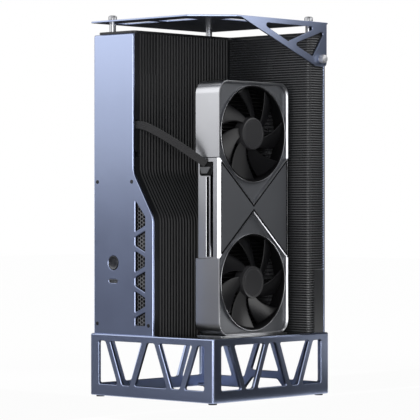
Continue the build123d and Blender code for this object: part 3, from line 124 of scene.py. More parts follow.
@dataclass(frozen=True)
class Finish:
    """One real material and the way its surface was made.

    The colour drifts slowly over patch_mm, the roughness with it, and the relief repeats every
    grain_mm with a height of relief_mm. Rings and threads turn by one radian in a grain, so that a
    full wave takes about six grains.
    """

    name: str
    colour: str
    metallic: float
    roughness: float
    relief: Relief
    grain_mm: float
    relief_mm: float
    drift: float = 0.06
    patch_mm: float = 45.0
    roughness_drift: float = 0.05
    along: Spot = (1.0, 1.0, 1.0)
    anisotropic: float = 0.0
    coat: float = 0.0
    coat_roughness: float = 0.03
    sheen: float = 0.0
    ior: float = 1.5
    specular: float = 0.5

    def height(self, tree: bpy.types.NodeTree, place: bpy.types.Node) -> bpy.types.NodeSocket:
        """Draw the relief.

        Args:
            tree: the material's nodes.
            place: its texture coordinates.

        Returns:
            The socket that holds the height, from 0 to 1.
        """
        per_metre = 1 / (self.grain_mm * MM)
        wave_scale = per_metre / WAVE_RADIANS
        if self.relief is Relief.SPUN:
            rings = add_node(
                tree, "ShaderNodeTexWave",
                {"Vector": place.outputs["Object"], "Scale": wave_scale, "Distortion": 0.4},
                wave_type="RINGS", rings_direction="Z",
            )
            return rings.outputs["Fac"]
        if self.relief is Relief.BRAIDED:
            waves = []
            for lean in (1, -1):
                turned = add_node(
                    tree, "ShaderNodeMapping",
                    {"Vector": place.outputs["UV"], "Rotation": (0, 0, lean * pi / 4)},
                )
                wave = add_node(
                    tree, "ShaderNodeTexWave", {"Vector": turned.outputs["Vector"], "Scale": wave_scale}
                )
                waves.append(wave.outputs["Fac"])
            cross = add_node(tree, "ShaderNodeMath", {0: waves[0], 1: waves[1]}, operation="MAXIMUM")
            return cross.outputs["Value"]
        stretched = add_node(
            tree, "ShaderNodeMapping", {"Vector": place.outputs["Object"], "Scale": self.along}
        )
        grit = add_node(
            tree, "ShaderNodeTexNoise",
            {"Vector": stretched.outputs["Vector"], "Scale": per_metre, "Detail": 3.0},
        )
        return grit.outputs[0]

    @cached_property
    def material(self) -> bpy.types.Material:
        """Make the Blender material of this finish, once.

        Returns:
            The material.
        """
        material = bpy.data.materials.new(self.name)
        material.use_nodes = True
        tree = material.node_tree
        shader = tree.nodes["Principled BSDF"]
        place = add_node(tree, "ShaderNodeTexCoord")
        patches = add_node(
            tree, "ShaderNodeTexNoise",
            {"Vector": place.outputs["Object"], "Scale": 1 / (self.patch_mm * MM), "Detail": 4.0},
        )
        colour = Vector(linear(self.colour)[:3])
        darker, lighter = ((*(colour * (1 + way * self.drift)), 1) for way in (-1, 1))
        # Sockets 6 and 7 hold the mix node's two colours.
        tint = add_node(
            tree, "ShaderNodeMix", {0: patches.outputs[0], 6: darker, 7: lighter}, data_type="RGBA"
        )
        gloss = add_node(
            tree, "ShaderNodeMapRange",
            {
                "Value": patches.outputs[0],
                "To Min": self.roughness - self.roughness_drift,
                "To Max": self.roughness + self.roughness_drift,
            },
        )
        bump = add_node(
            tree, "ShaderNodeBump",
            {"Height": self.height(tree, place), "Distance": self.relief_mm * MM, "Strength": 1.0},
        )
        tree.links.new(tint.outputs[2], shader.inputs["Base Color"])
        tree.links.new(gloss.outputs[0], shader.inputs["Roughness"])
        tree.links.new(bump.outputs[0], shader.inputs["Normal"])
        constants = {
            "Metallic": self.metallic, "IOR": self.ior, "Specular IOR Level": self.specular,
            "Coat Weight": self.coat, "Coat Roughness": self.coat_roughness, "Sheen Weight": self.sheen,
        }
        if self.anisotropic:
            # A quarter turn lays the stretched gleam across the lathe's rings.
            constants |= {"Anisotropic": self.anisotropic, "Anisotropic Rotation": 0.25}
            round_way = add_node(tree, "ShaderNodeTangent", direction_type="RADIAL", axis="Z")
            tree.links.new(round_way.outputs[0], shader.inputs["Tangent"])
        for socket, value in constants.items():
            shader.inputs[socket].default_value = value
        return material


# Aluminium, bead-blasted and dyed blue-grey in the anodising bath: a soft metal sheen with no grain.
# Its real grit is under 0.1 mm and too fine to show, so it is drawn at 0.7 mm. The relief of the
# other finishes is drawn at 0.4 to 2 mm for the same reason.
ANODISED_BLUE = Finish(
    "anodised blue-grey aluminium, bead-blasted", "#99a5c4", 1.0, 0.3, Relief.BLASTED, 0.7, 0.004,
    coat=0.8, coat_roughness=0.22,
)
# The same aluminium dyed black. The dye hides the metal, so only its oxide shines.
ANODISED_BLACK = Finish(
    "anodised black aluminium, extruded", "#161719", 0.0, 0.42, Relief.BRUSHED, 0.8, 0.003, specular=0.3
)
# The wall's ribs are the same black aluminium, drawn greyer as painted light where the lamps leave them
# dark, under a bare, brighter oxide.
ANODISED_BLACK_PAINTED_LIGHTER = Finish(
    "anodised black aluminium, extruded, painted lighter", "#353638", 0.0, 0.25, Relief.BRUSHED, 0.8, 0.001, ior=1.76
)
# Steel sheet under a black powder coat, with the faint orange peel of baking. Drawn at 1.2 mm.
POWDER_BLACK = Finish("black powder-coated steel sheet", "#141518", 0.0, 0.42, Relief.POWDER, 1.2, 0.03)
# The deck's sheet is lacquered, so it mirrors what stands on it.
LACQUER_BLACK = Finish("black lacquered steel sheet", "#08080a", 0.0, 0.16, Relief.POWDER, 2.0, 0.004)
# Rubber pressed in a mould: no gloss at all.
RUBBER = Finish("black rubber, moulded", "#0f0f10", 0.0, 0.85, Relief.MOULDED, 0.8, 0.03)
# Aluminium turned on a lathe and dyed dark: rings that stretch the light across them. They are
# drawn 3 mm apart, because the real ones are too fine to show.
SPUN_DARK = Finish(
    "dark anodised aluminium, spun", "#58595c", 1.0, 0.22, Relief.SPUN, 0.5, 0.004, anisotropic=0.95
)
# Bright machined steel, its turning rings drawn 2.5 mm apart.
STEEL = Finish("machined steel, polished", "#a3a4a7", 1.0, 0.16, Relief.SPUN, 0.4, 0.003)
# The side screw is blasted before plating, which spreads the light over its face.
STEEL_SATIN = Finish(
    "machined steel, blasted and plated", "#b8b9bc", 0.5, 0.42, Relief.BLASTED, 0.4, 0.003
)
# Steel sheet as rolled, with lines along its length.
STEEL_SHEET = Finish(
    "cold-rolled steel sheet", "#a9abae", 1.0, 0.32, Relief.BRUSHED, 0.5, 0.006, along=(1.0, 0.05, 1.0)
)
# Screws blackened in hot oxide. The front panel's heads are widened so that their black also stands in
# for the shadow in the screw holes: painted shadow.
BLACK_STEEL_AND_PAINTED_SHADE = Finish("blackened steel", "#4a4b4e", 1.0, 0.34, Relief.BLASTED, 0.4, 0.004)
# Perforated steel sheet with a dull zinc coat.
ZINCED = Finish("zinc-coated steel sheet, perforated", "#7f8082", 0.5, 0.42, Relief.BLASTED, 0.4, 0.004)
# Die-cast aluminium, blasted and left its own colour: pale satin silver.
SILVER = Finish(
    "clear anodised aluminium, die-cast and blasted", "#bcbdc1", 1.0, 0.3, Relief.BLASTED, 0.6, 0.005
)
# Dark grey satin paint on pressed aluminium.
CARD_GREY = Finish(
    "dark grey satin paint on aluminium", "#5d5f63", 0.35, 0.42, Relief.POWDER, 0.6, 0.008
)
# Glass-filled nylon with a fine mould texture.
FAN_PLASTIC = Finish(
    "dark glass-filled nylon, moulded", "#121214", 0.0, 0.3, Relief.MOULDED, 0.5, 0.01, specular=0.35
)
# The hub caps, moulded in the same nylon and polished a little.
HUB_PLASTIC = Finish("dark grey nylon, moulded", "#2e2e30", 0.0, 0.4, Relief.MOULDED, 0.5, 0.006)
# Stamped fins with a dark coat, lined along their length.
FINS = Finish(
    "dark coated aluminium fins, stamped", "#19191b", 0.4, 0.45, Relief.BRUSHED, 0.5, 0.006,
    along=(1.0, 0.06, 1.0),
)
# Glass-fibre board under black solder mask: glossy lacquer over a weave.
BOARD = Finish(
    "black solder mask on glass fibre", "#0c100f", 0.0, 0.3, Relief.BRUSHED, 1.2, 0.02, coat=0.4
)
# Nylon connector housings.
CONNECTOR = Finish(
    "black nylon, moulded", "#08080a", 0.0, 0.55, Relief.MOULDED, 0.5, 0.012, specular=0.15
)
# The latch of the plug, moulded in a greyer nylon.
LATCH = Finish("grey nylon, moulded", "#5e5f62", 0.0, 0.5, Relief.MOULDED, 0.5, 0.012)
# Polyester sleeve braided over the wires: matte, with crossing threads. They are drawn 5.7 mm apart,
# because the real ones are too fine to show.
SLEEVE = Finish(
    "black polyester sleeve, braided", "#232325", 0.0, 0.75, Relief.BRAIDED, 0.9, 0.15, sheen=0.1
)
# Brass contacts with a tin plate.
BRASS = Finish("brass contacts, plated", "#c9b98a", 1.0, 0.25, Relief.BLASTED, 0.4, 0.003)


def place_object(name: str, data: bpy.types.ID) -> bpy.types.Object:
    """Put an object in the scene.

    Args:
        name: the object's name.
        data: its mesh, curve, lamp or camera.

    Returns:
        The object.
    """
    made = bpy.data.objects.new(name, data)
    bpy.context.scene.collection.objects.link(made)
    return made


def soften(piece: bpy.types.Object, width_mm: float, segments: int = 2) -> bpy.types.BevelModifier:
    """Break a piece's sharp edges.

    Args:
        piece: the piece or CAD node.
        width_mm: the broken edge's width.
        segments: the number of faces across it.

    Returns:
        The modifier that does it.
    """
    edge = piece.modifiers.new("broken edge", "BEVEL")
    edge.width = width_mm * MM
    edge.segments = segments
    edge.limit_method = "ANGLE"
    return edge


def thicken(piece: bpy.types.Object, thickness_mm: float) -> None:
    """Give a sheet its thickness, half of it on each side.

    Args:
        piece: the sheet.
        thickness_mm: its thickness.
    """
    sheet = piece.modifiers.new("thickness", "SOLIDIFY")
    sheet.thickness = thickness_mm * MM
    sheet.offset = 0.0


def dress_node(name: str, finish: Finish, edge_mm: float = 0.0) -> None:
    """Give a CAD node its finish and, where it has crisp folded or milled edges, a fine broken edge.

    Args:
        name: the CAD node.
        finish: what it is made of.
        edge_mm: the width of the broken edge, or 0 for none.
    """
    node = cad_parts[name]
    for slot in node.material_slots:
        slot.material = finish.material
    if edge_mm:
        weld = node.modifiers.new("joined facets", "WELD")
        weld.merge_threshold = SAME_CORNER_MM * MM
        flat = node.modifiers.new("whole faces", "DECIMATE")
        flat.decimate_type = "DISSOLVE"
        flat.angle_limit = radians(FLAT_DEGREES)
        edge = soften(node, edge_mm, segments=4)
        edge.profile = EDGE_PROFILE
        edge.angle_limit = radians(EDGE_DEGREES)
        edge.use_clamp_overlap = False
        node.modifiers.new("even shading", "WEIGHTED_NORMAL")
    log.info("dressed %s: %s", name, finish.name)


def add_piece(
    name: str, mesh: bpy.types.Mesh, finish: Finish, body: str = "dock",
    stands_for: Sequence[str] = (),
) -> bpy.types.Object:
    """Put a new piece on a body.

    Args:
        name: the piece's name.
        mesh: its mesh, in metres, in the row frame.
        finish: what it is made of.
        body: the CAD body that carries it.
        stands_for: the CAD nodes that it replaces.

    Returns:
        The piece.
    """
    piece = place_object(name, mesh)
    mesh.materials.append(finish.material)
    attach(piece, body)
    if stands_for:
        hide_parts(*stands_for)
    log.info("built %s on %s: %d faces", name, body, len(mesh.polygons))
    return piece


def to_mesh(shape: bmesh.types.BMesh, name: str, weld_mm: float = 0.0) -> bpy.types.Mesh:
    """Turn a shape into a mesh with its faces outward, and free the shape.

    Args:
        shape: the shape that was made.
        name: the mesh's name.
        weld_mm: corners nearer than this are joined first, or 0 for none.

    Returns:
        The mesh.
    """
    if weld_mm:
        bmesh.ops.remove_doubles(shape, verts=shape.verts, dist=weld_mm * MM)
    bmesh.ops.recalc_face_normals(shape, faces=shape.faces)
    mesh = bpy.data.meshes.new(name)
    shape.to_mesh(mesh)
    shape.free()
    return mesh


def shade(mesh: bpy.types.Mesh, crease_degrees: float = 35.0) -> bpy.types.Mesh:
    """Smooth a mesh's shading.

    Args:
        mesh: the mesh.
        crease_degrees: faces that meet at more keep a crease.

    Returns:
        The same mesh.
    """
    mesh.shade_smooth()
    mesh.set_sharp_from_angle(angle=radians(crease_degrees))
    return mesh


def opening_walls(
    node: str, axis: int, level: float, reach_mm: float, low: Vector, high: Vector
) -> Iterator[tuple[Vector, list[Vector]]]:
    """Find the walls of a CAD node's openings that end on a plane.

    Args:
        node: the CAD node.
        axis: the number of the axis across the plane, which the openings run along.
        level: the plane's place on that axis, in metres.
        reach_mm: how near to the plane a wall has to end.
        low: the lowest corner of the box that holds the walls' middles. The axis itself isn't compared.
        high: its highest corner.

    Yields:
        Each wall's normal and its two corners on the plane.
    """
    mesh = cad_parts[node].data
    for face in mesh.polygons:
        inside = all(low[i] < face.center[i] < high[i] for i in range(3) if i != axis)
        if not inside or abs(face.normal[axis]) > WALL_TILT:
            continue
        corners = [mesh.vertices[index].co for index in face.vertices]
        ends = [co for co in corners if abs(co[axis] - level) < reach_mm * MM]
        if len(ends) == 2:
            yield face.normal, ends


class Round(Enum):
    """Shape of one ring of a turned piece."""

    CIRCLE = "circle"
    KNURL = "circle with straight knurling"
    HEXAGON = "hexagon socket"


Ring = tuple[float, float, Round]


def circles(*rings: Point) -> list[Ring]:
    """Plain rings of a turned piece, from radius and height in millimetres."""
    return [(radius, height, Round.CIRCLE) for radius, height in rings]


@dataclass
class TurnedPiece:
    """A piece made on a lathe: rings of radius, height and shape in millimetres, from tip to foot."""

    rings: Sequence[Ring]
    steps: int = 72
    teeth: int = 24
    tooth_mm: float = 0.35
    hollow: bool = False

    def reach(self, radius: float, shape: Round, turn: float) -> float:
        """Radius of a ring in one direction.

        Args:
            radius: the ring's radius in millimetres, or half the width across a socket's flats.
            shape: the ring's shape.
            turn: the direction, in radians.

        Returns:
            The distance from the axis, in millimetres.
        """
        if shape is Round.KNURL:
            return radius - self.tooth_mm * abs(sin(turn * self.teeth / 2))
        if shape is Round.HEXAGON:
            return radius / cos((turn + pi / 6) % (pi / 3) - pi / 6)
        return radius

    def mesh(self, name: str, places: Iterable[Matrix] = (Matrix.Identity(4),)) -> bpy.types.Mesh:
        """Turn the piece and set copies of it.

        Args:
            name: the mesh's name.
            places: one matrix for each copy, from the lathe's axis +Z to its seat.

        Returns:
            The mesh, in metres.
        """
        shape = bmesh.new()
        for place in places:
            loops = []
            for radius, height, kind in self.rings:
                loop = []
                for step in range(self.steps):
                    turn = tau * step / self.steps
                    reach = self.reach(radius, kind, turn)
                    spot = Vector((reach * cos(turn), reach * sin(turn), height)) * MM
                    loop.append(shape.verts.new(place @ spot))
                loops.append(loop)
            if self.hollow:
                loops.append(loops[0])
            for upper, lower in zip(loops, loops[1:]):
                for step in range(self.steps):
                    after = (step + 1) % self.steps
                    shape.faces.new((upper[step], lower[step], lower[after], upper[after]))
            if not self.hollow:
                shape.faces.new(loops[0])
                shape.faces.new(reversed(loops[-1]))
        return shade(to_mesh(shape, name))


def facing(place: Vector, axis: str) -> Matrix:
    """Seat a turned piece.

    Args:
        place: where its foot goes, in metres.
        axis: the row axis, such as "-Y", that the lathe's axis +Z turns to.

    Returns:
        The matrix that seats it.
    """
    turns = {
        "+Z": Matrix.Identity(4),
        "-Y": Matrix.Rotation(pi / 2, 4, "X"),
        "+Y": Matrix.Rotation(-pi / 2, 4, "X"),
        "+X": Matrix.Rotation(pi / 2, 4, "Y"),
    }
    return Matrix.Translation(place) @ turns[axis]


def add_block(shape: bmesh.types.BMesh, low: Vector, high: Vector) -> None:
    """Add a closed block to a shape.

    Args:
        shape: the shape that is being made.
        low: the block's lowest corner, in metres.
        high: its highest corner.
    """
    size, middle = high - low, (low + high) / 2
    made = bmesh.ops.create_cube(shape, size=1.0)
    for vert in made["verts"]:
        vert.co = Vector(part * whole for part, whole in zip(vert.co, size)) + middle


class Assembly:
    """A sub-assembly: build() makes its own pieces, and dress() finishes its CAD nodes."""

    def build(self) -> None:
        """Make no piece."""

    def dress(self) -> None:
        """Finish no node."""


@dataclass
class Base(Assembly):
    """Truss base with its deck and feet. Millimetres."""

    frame_edge: float = 0.8

    def dress(self) -> None:
        """Finish the base, its deck and its feet."""
        dress_node("base_frame", ANODISED_BLUE, self.frame_edge)
        dress_node("deck_plate", LACQUER_BLACK, MOULD_EDGE)
        dress_node("rubber_feet", RUBBER)


@dataclass
class Tower(Assembly):
    """Front panel, ribbed cover, power supply and the fittings on them. Sizes in millimetres."""

    panel_edge: float = 0.75
    hole_pitch: float = 4.6
    # Holes as shares of the pitch, the narrow ones behind every second window from the top.
    wide_hole: float = 0.8
    narrow_hole: float = 0.7
    window_middles: tuple[float, ...] = (221.0, 187.5, 163.6, 139.6, 115.7, 95.3)
    vent_slant: float = 22.5  # how far the vent's top falls from left to right
    sheet: float = 0.8
    # A black strip on the deep part of the vent's window walls: painted shade in those recesses.
    shade_liner_depth: float = 2.4
    shade_liner: float = 0.3
    shade_liner_gap: float = 0.02
    window_margin: float = 3.0  # how far outside the vent's box its windows' walls may stand
    button_cap: float = 4.5
    button_stem: float = 3.0
    screw_steps: int = 36
    screw_reach: float = 9.0  # corners nearer to each other are on one screw
    front_head_over_hole_shade: float = 1.27  # times the CAD screw's radius; the extra width is painted shadow of the screw hole

    def build(self) -> None:
        """Make the vent's perforated sheet and the black strip of painted shade in its windows, the
        power button and the screw heads.
        """
        self.build_vent_sheet()
        self.build_vent_shade_liner()
        self.build_button()
        self.build_screws()

    def build_vent_sheet(self) -> None:
        """Perforate a sheet with staggered hexagon holes."""
        low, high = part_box("front_vent_mesh")
        sheet_y = low.y + 0.5 * self.sheet * MM
        pitch = self.hole_pitch * MM
        column_step = pitch * sqrt(3) / 2
        slope_foot = high.z - self.vent_slant * MM
        shape = bmesh.new()
        for column in range(int((high.x - low.x) / column_step)):
            for row in range(int((high.z - low.z) / pitch)):
                x = low.x + (column + 0.6) * column_step
                z = low.z + (row + 0.5 + 0.5 * (column % 2)) * pitch
                limit = high.z - (x - low.x) / (high.x - low.x) * (high.z - slope_foot)
                if z <= limit - pitch / 2:
                    self.add_cell(shape, Vector((x, sheet_y, z)))
        mesh = to_mesh(shape, "vent_sheet", weld_mm=0.05)
        piece = add_piece("vent_sheet", mesh, ZINCED, stands_for=["front_vent_mesh"])
        thicken(piece, self.sheet)

    def add_cell(self, shape: bmesh.types.BMesh, middle: Vector) -> None:
        """Add one hexagon of sheet with its hole.

        Args:
            shape: the sheet that is being made.
            middle: the hole's middle, in metres.
        """
        gaps = [abs(height * MM - middle.z) for height in self.window_middles]
        share = self.narrow_hole if gaps.index(min(gaps)) % 2 else self.wide_hole
        rim, hole = [], []
        for corner in range(6):
            turn = corner * pi / 3
            way = Vector((cos(turn), 0, sin(turn))) * (self.hole_pitch * MM / sqrt(3))
            rim.append(shape.verts.new(middle + way))
            hole.append(shape.verts.new(middle + way * share))
        for corner in range(6):
            after = (corner + 1) % 6
            shape.faces.new((rim[corner], rim[after], hole[after], hole[corner]))

    def build_vent_shade_liner(self) -> None:
        """Line the vent's windows with a black strip, from the sheet part of the way to the front, as
        painted shade in their depth.
        """
        low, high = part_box("front_vent_mesh")
        margin = Vector((1, 1, 1)) * self.window_margin * MM
        back_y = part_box("front_panel")[1].y
        shape = bmesh.new()
        walls = opening_walls(
            "front_panel", axis=1, level=back_y, reach_mm=0.05, low=low - margin, high=high + margin
        )
        for normal, ends in walls:
            rim = [shape.verts.new(co + normal * self.shade_liner_gap * MM) for co in ends]
            lip = [shape.verts.new(vert.co - Vector((0, self.shade_liner_depth * MM, 0))) for vert in rim]
            shape.faces.new((rim[0], rim[1], lip[1], lip[0]))
        mesh = to_mesh(shape, "vent_shade_liner", weld_mm=0.08)
        thicken(add_piece("vent_shade_liner", mesh, CONNECTOR), self.shade_liner)

    def build_button(self) -> None:
        """Turn the power button: a dished, spun face with a rounded rim, and its stem."""
        low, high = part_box("power_button")
        middle = (low + high) / 2
        radius = (high.x - low.x) / 2 / MM
        depth = (high.y - low.y) / MM
        turned = TurnedPiece(
            circles(
                (0.2, -0.5), (radius * 0.5, -0.42), (radius * 0.84, -0.28), (radius * 0.88, -0.05),
                (radius - 0.4, 0.0), (radius - 0.1, -0.12), (radius, -0.4), (radius, -self.button_cap),
                (self.button_stem, -self.button_cap), (self.button_stem, -depth),
            ),
            steps=96,
        )
        piece = add_piece(
            "power_button_face", turned.mesh("power_button_face"), SPUN_DARK,
            "power_button", ["power_button"],
        )
        piece.matrix_world = facing(Vector((middle.x, low.y, middle.z)), "-Y")

    def build_screws(self) -> None:
        """Turn the screw heads of the front and back panels, each with a hexagon socket."""
        # The node, the way its heads face, half a socket's width, and the heads' widening, which on the
        # front panel spreads the black heads over painted shadow of the holes.
        sorts = (
            ("front_panel_screws", "-Y", 1.2, self.front_head_over_hole_shade),
            ("back_panel_screws", "+Y", 1.5, 1.0),
        )
        for node, axis, socket, widening in sorts:
            low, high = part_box(node)
            seats = self.screw_seats(node)
            radius = widening * seats[0][1] / MM
            height = (high.y - low.y) / MM
            face_y = high.y if axis == "-Y" else low.y
            socket_rings = [(socket, height * share, Round.HEXAGON) for share in (0.25, 0.85)]
            head_rings = circles(
                (socket + 0.3, height), (radius * 0.8, height * 0.95),
                (radius * 0.97, height * 0.6), (radius * 0.98, 0.0),
            )
            head = TurnedPiece(socket_rings + head_rings, steps=self.screw_steps)
            places = [facing(Vector((spot.x, face_y, spot.z)), axis) for spot, _ in seats]
            mesh = head.mesh(f"{node}_heads", places)
            add_piece(f"{node}_heads", mesh, BLACK_STEEL_AND_PAINTED_SHADE, stands_for=[node])

    def screw_seats(self, node: str) -> list[tuple[Vector, float]]:
        """Tell a CAD node's screws apart by the distance between their corners.

        Args:
            node: the CAD node.

        Returns:
            The middle and the radius of each screw, in metres.
        """
        spots: list[list[Vector]] = []
        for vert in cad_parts[node].data.vertices:
            for group in spots:
                if (group[0] - vert.co).length < self.screw_reach * MM:
                    group.append(vert.co)
                    break
            else:
                spots.append([vert.co])
        seats = []
        for group in spots:
            low_x, high_x = min(v.x for v in group), max(v.x for v in group)
            low_z, high_z = min(v.z for v in group), max(v.z for v in group)
            middle = Vector(((low_x + high_x) / 2, group[0].y, (low_z + high_z) / 2))
            seats.append((middle, (high_x - low_x) / 2))
        return seats

    def dress(self) -> None:
        """Finish the tower's nodes."""
        dress_node("front_panel", ANODISED_BLUE, self.panel_edge)
        dress_node("side_panel", ANODISED_BLUE, SHEET_EDGE)
        dress_node("back_panel", ANODISED_BLUE, SHEET_EDGE)
        dress_node("tower_rib_cover", ANODISED_BLACK)
        dress_node("top_cap", POWDER_BLACK, SHEET_EDGE)
        dress_node("button_switch", CONNECTOR)
        dress_node("front_port", STEEL_SHEET)
        dress_node("psu_case", POWDER_BLACK, SHEET_EDGE)
        dress_node("psu_fan_rotor", FAN_PLASTIC, MOULD_EDGE)
        dress_node("mains_inlet", CONNECTOR, MOULD_EDGE)
        dress_node("inlet_pins", BRASS, FINE_EDGE)
        dress_node("switch_frame", CONNECTOR, MOULD_EDGE)
        dress_node("rocker_switch", CONNECTOR, SHEET_EDGE)


@dataclass
class BackWall(Assembly):
    """Ribbed wall with the card slot. Millimetres."""

    rib_slope: float = 0.4  # least rise of the two faces that meet at a rib's crest
    rib_lean: float = 0.1  # most that their rises differ
    crest_radius: float = 0.72
    crest_sink: float = 0.55
    crest_steps: int = 10
    crest_flatness: float = 0.4  # 1 is a round, 0 a square
    # A black block on top of the wall's end: painted shade under the top plate.
    strip_height: float = 5.5
    strip_width: float = 6.0
    strip_start: float = 9.0  # from the wall's front end
    strip_inset: float = 0.5
    strip_edge: float = 0.6

    def build(self) -> None:
        """Make the rounded crests of the wall's ribs and the black block of painted shade on its end.
        """
        self.build_crests()
        self.build_shade_block()

    def build_crests(self) -> None:
        """Lay a rounded crest along each of the wall's ribs, round its corner as well."""
        cover = bmesh.new()
        cover.from_mesh(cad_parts["wall_rib_cover"].data)
        bmesh.ops.remove_doubles(cover, verts=cover.verts, dist=SAME_CORNER_MM * MM)
        bmesh.ops.dissolve_limit(
            cover, angle_limit=radians(FLAT_DEGREES), verts=cover.verts, edges=cover.edges
        )
        runs, outward = [], {}
        for edge in cover.edges:
            if len(edge.link_faces) != 2 or not edge.is_convex:
                continue
            up, down = sorted((face.normal for face in edge.link_faces), key=lambda normal: -normal.z)
            if min(up.z, -down.z) < self.rib_slope or abs(up.z + down.z) > self.rib_lean:
                continue
            way = Vector((up.x + down.x, up.y + down.y, 0)).normalized()
            runs.append(edge.verts)
            for vert in edge.verts:
                outward[vert] = outward.get(vert, Vector()) + way
        shape = bmesh.new()
        rings = {vert: self.crest_ring(shape, vert.co, way) for vert, way in outward.items()}
        for start, end in ((rings[first], rings[last]) for first, last in runs):
            for step in range(self.crest_steps):
                after = step + 1
                shape.faces.new((start[step], end[step], end[after], start[after]))
            shape.faces.new((start[0], start[-1], end[-1], end[0]))
        cover.free()
        bmesh.ops.holes_fill(shape, edges=shape.edges)
        mesh = shade(to_mesh(shape, "wall_rib_crests"), crease_degrees=50)
        add_piece("wall_rib_crests", mesh, ANODISED_BLACK_PAINTED_LIGHTER)

    def crest_ring(
        self, shape: bmesh.types.BMesh, place: Vector, way: Vector
    ) -> list[bmesh.types.BMVert]:
        """Add the section of a crest at one end of a run.

        Args:
            shape: the crests that are being made.
            place: the end, in metres.
            way: the way that the crest faces there.

        Returns:
            The section's corners, from below to above.
        """
        way = way.normalized()
        ring = []
        for step in range(self.crest_steps + 1):
            turn = pi / 2 * (2 * step / self.crest_steps - 1)
            rise = max(cos(turn), 0.0) ** self.crest_flatness
            spot = way * (rise * self.crest_radius - self.crest_sink)
            spot.z += sin(turn) * self.crest_radius
            ring.append(shape.verts.new(place + spot * MM))
        return ring

    def build_shade_block(self) -> None:
        """Stand a black rubber block on top of the wall's end, as painted shade under the top plate."""
        low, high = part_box("wall_rib_cover")
        shape = bmesh.new()
        outer = high + Vector((-self.strip_inset, -self.strip_inset, self.strip_height)) * MM
        inner = Vector((outer.x - self.strip_width * MM, low.y + self.strip_start * MM, high.z))
        add_block(shape, inner, outer)
        piece = add_piece("wall_shade_block", to_mesh(shape, "wall_shade_block"), RUBBER)
        soften(piece, self.strip_edge)

    def dress(self) -> None:
        """Finish the wall's nodes."""
        dress_node("wall_rib_cover", ANODISED_BLACK_PAINTED_LIGHTER)
        dress_node("slot_board", BOARD)
        dress_node("card_slot", CONNECTOR, MOULD_EDGE)
        dress_node("host_port", STEEL)


@dataclass
class TopPlate(Assembly):
    """Top plate with its gusset, posts, thumb nuts and the screw through the gusset. Millimetres."""

    collar: float = 1.1
    shank: float = 1.95
    grip_steps: int = 96

    def grip(self, radius: float, height: float, side: Round) -> list[Ring]:
        """Rings of a thumb grip.

        Args:
            radius: its outer radius.
            height: its height above the seat.
            side: plain or knurled side.

        Returns:
            The rings, from the domed top down to the collar.
        """
        dome = circles(
            (radius * 0.1, height), (radius * 0.4, height - 0.12), (radius * 0.66, height - 0.4),
            (radius * 0.84, height - 0.85), (radius * 0.95, height - 1.4),
        )
        foot = circles(
            (radius * 0.84, 1.3), (radius * 0.84, self.collar), (radius * 0.9, self.collar),
            (radius * 0.9, 0.0),
        )
        return [*dome, (radius, height - 2.2, side), (radius, 1.9, side), *foot]

    def build(self) -> None:
        """Turn the three thumb nuts and the side screw."""
        for node in ("thumb_nut_front", "thumb_nut_left", "thumb_nut_right"):
            low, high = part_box(node)
            middle = (low + high) / 2
            rings = self.grip((high.x - low.x) / 2 / MM, (high.z - low.z) / MM, Round.CIRCLE)
            mesh = TurnedPiece(rings, self.grip_steps).mesh(f"{node}_grip")
            piece = add_piece(f"{node}_grip", mesh, STEEL, node, [node])
            piece.matrix_world = facing(Vector((middle.x, middle.y, low.z)), "+Z")
        low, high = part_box("side_screw")
        middle = (low + high) / 2
        seat_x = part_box("top_plate")[1].x
        rings = self.grip((high.y - low.y) / 2 / MM, (high.x - seat_x) / MM, Round.KNURL)
        rings += circles((self.shank, 0.0), (self.shank, (low.x - seat_x) / MM))
        mesh = TurnedPiece(rings, self.grip_steps).mesh("side_screw_grip")
        piece = add_piece("side_screw_grip", mesh, STEEL_SATIN, "side_screw", ["side_screw"])
        piece.matrix_world = facing(Vector((seat_x, middle.y, middle.z)), "+X")

    def dress(self) -> None:
        """Finish the plate and its posts."""
        dress_node("top_plate", ANODISED_BLUE, SHEET_EDGE)
        dress_node("top_posts", STEEL)


def through(stations: Sequence[Point], at: float) -> float:
    """Read a smooth curve through a few stations.

    Args:
        stations: the place and the value of each station.
        at: the place to read.

    Returns:
        The curve's value there.
    """
    total = 0.0
    for place, value in stations:
        share = 1.0
        for other, _ in stations:
            if other != place:
                share *= (at - other) / (place - other)
        total += value * share
    return total


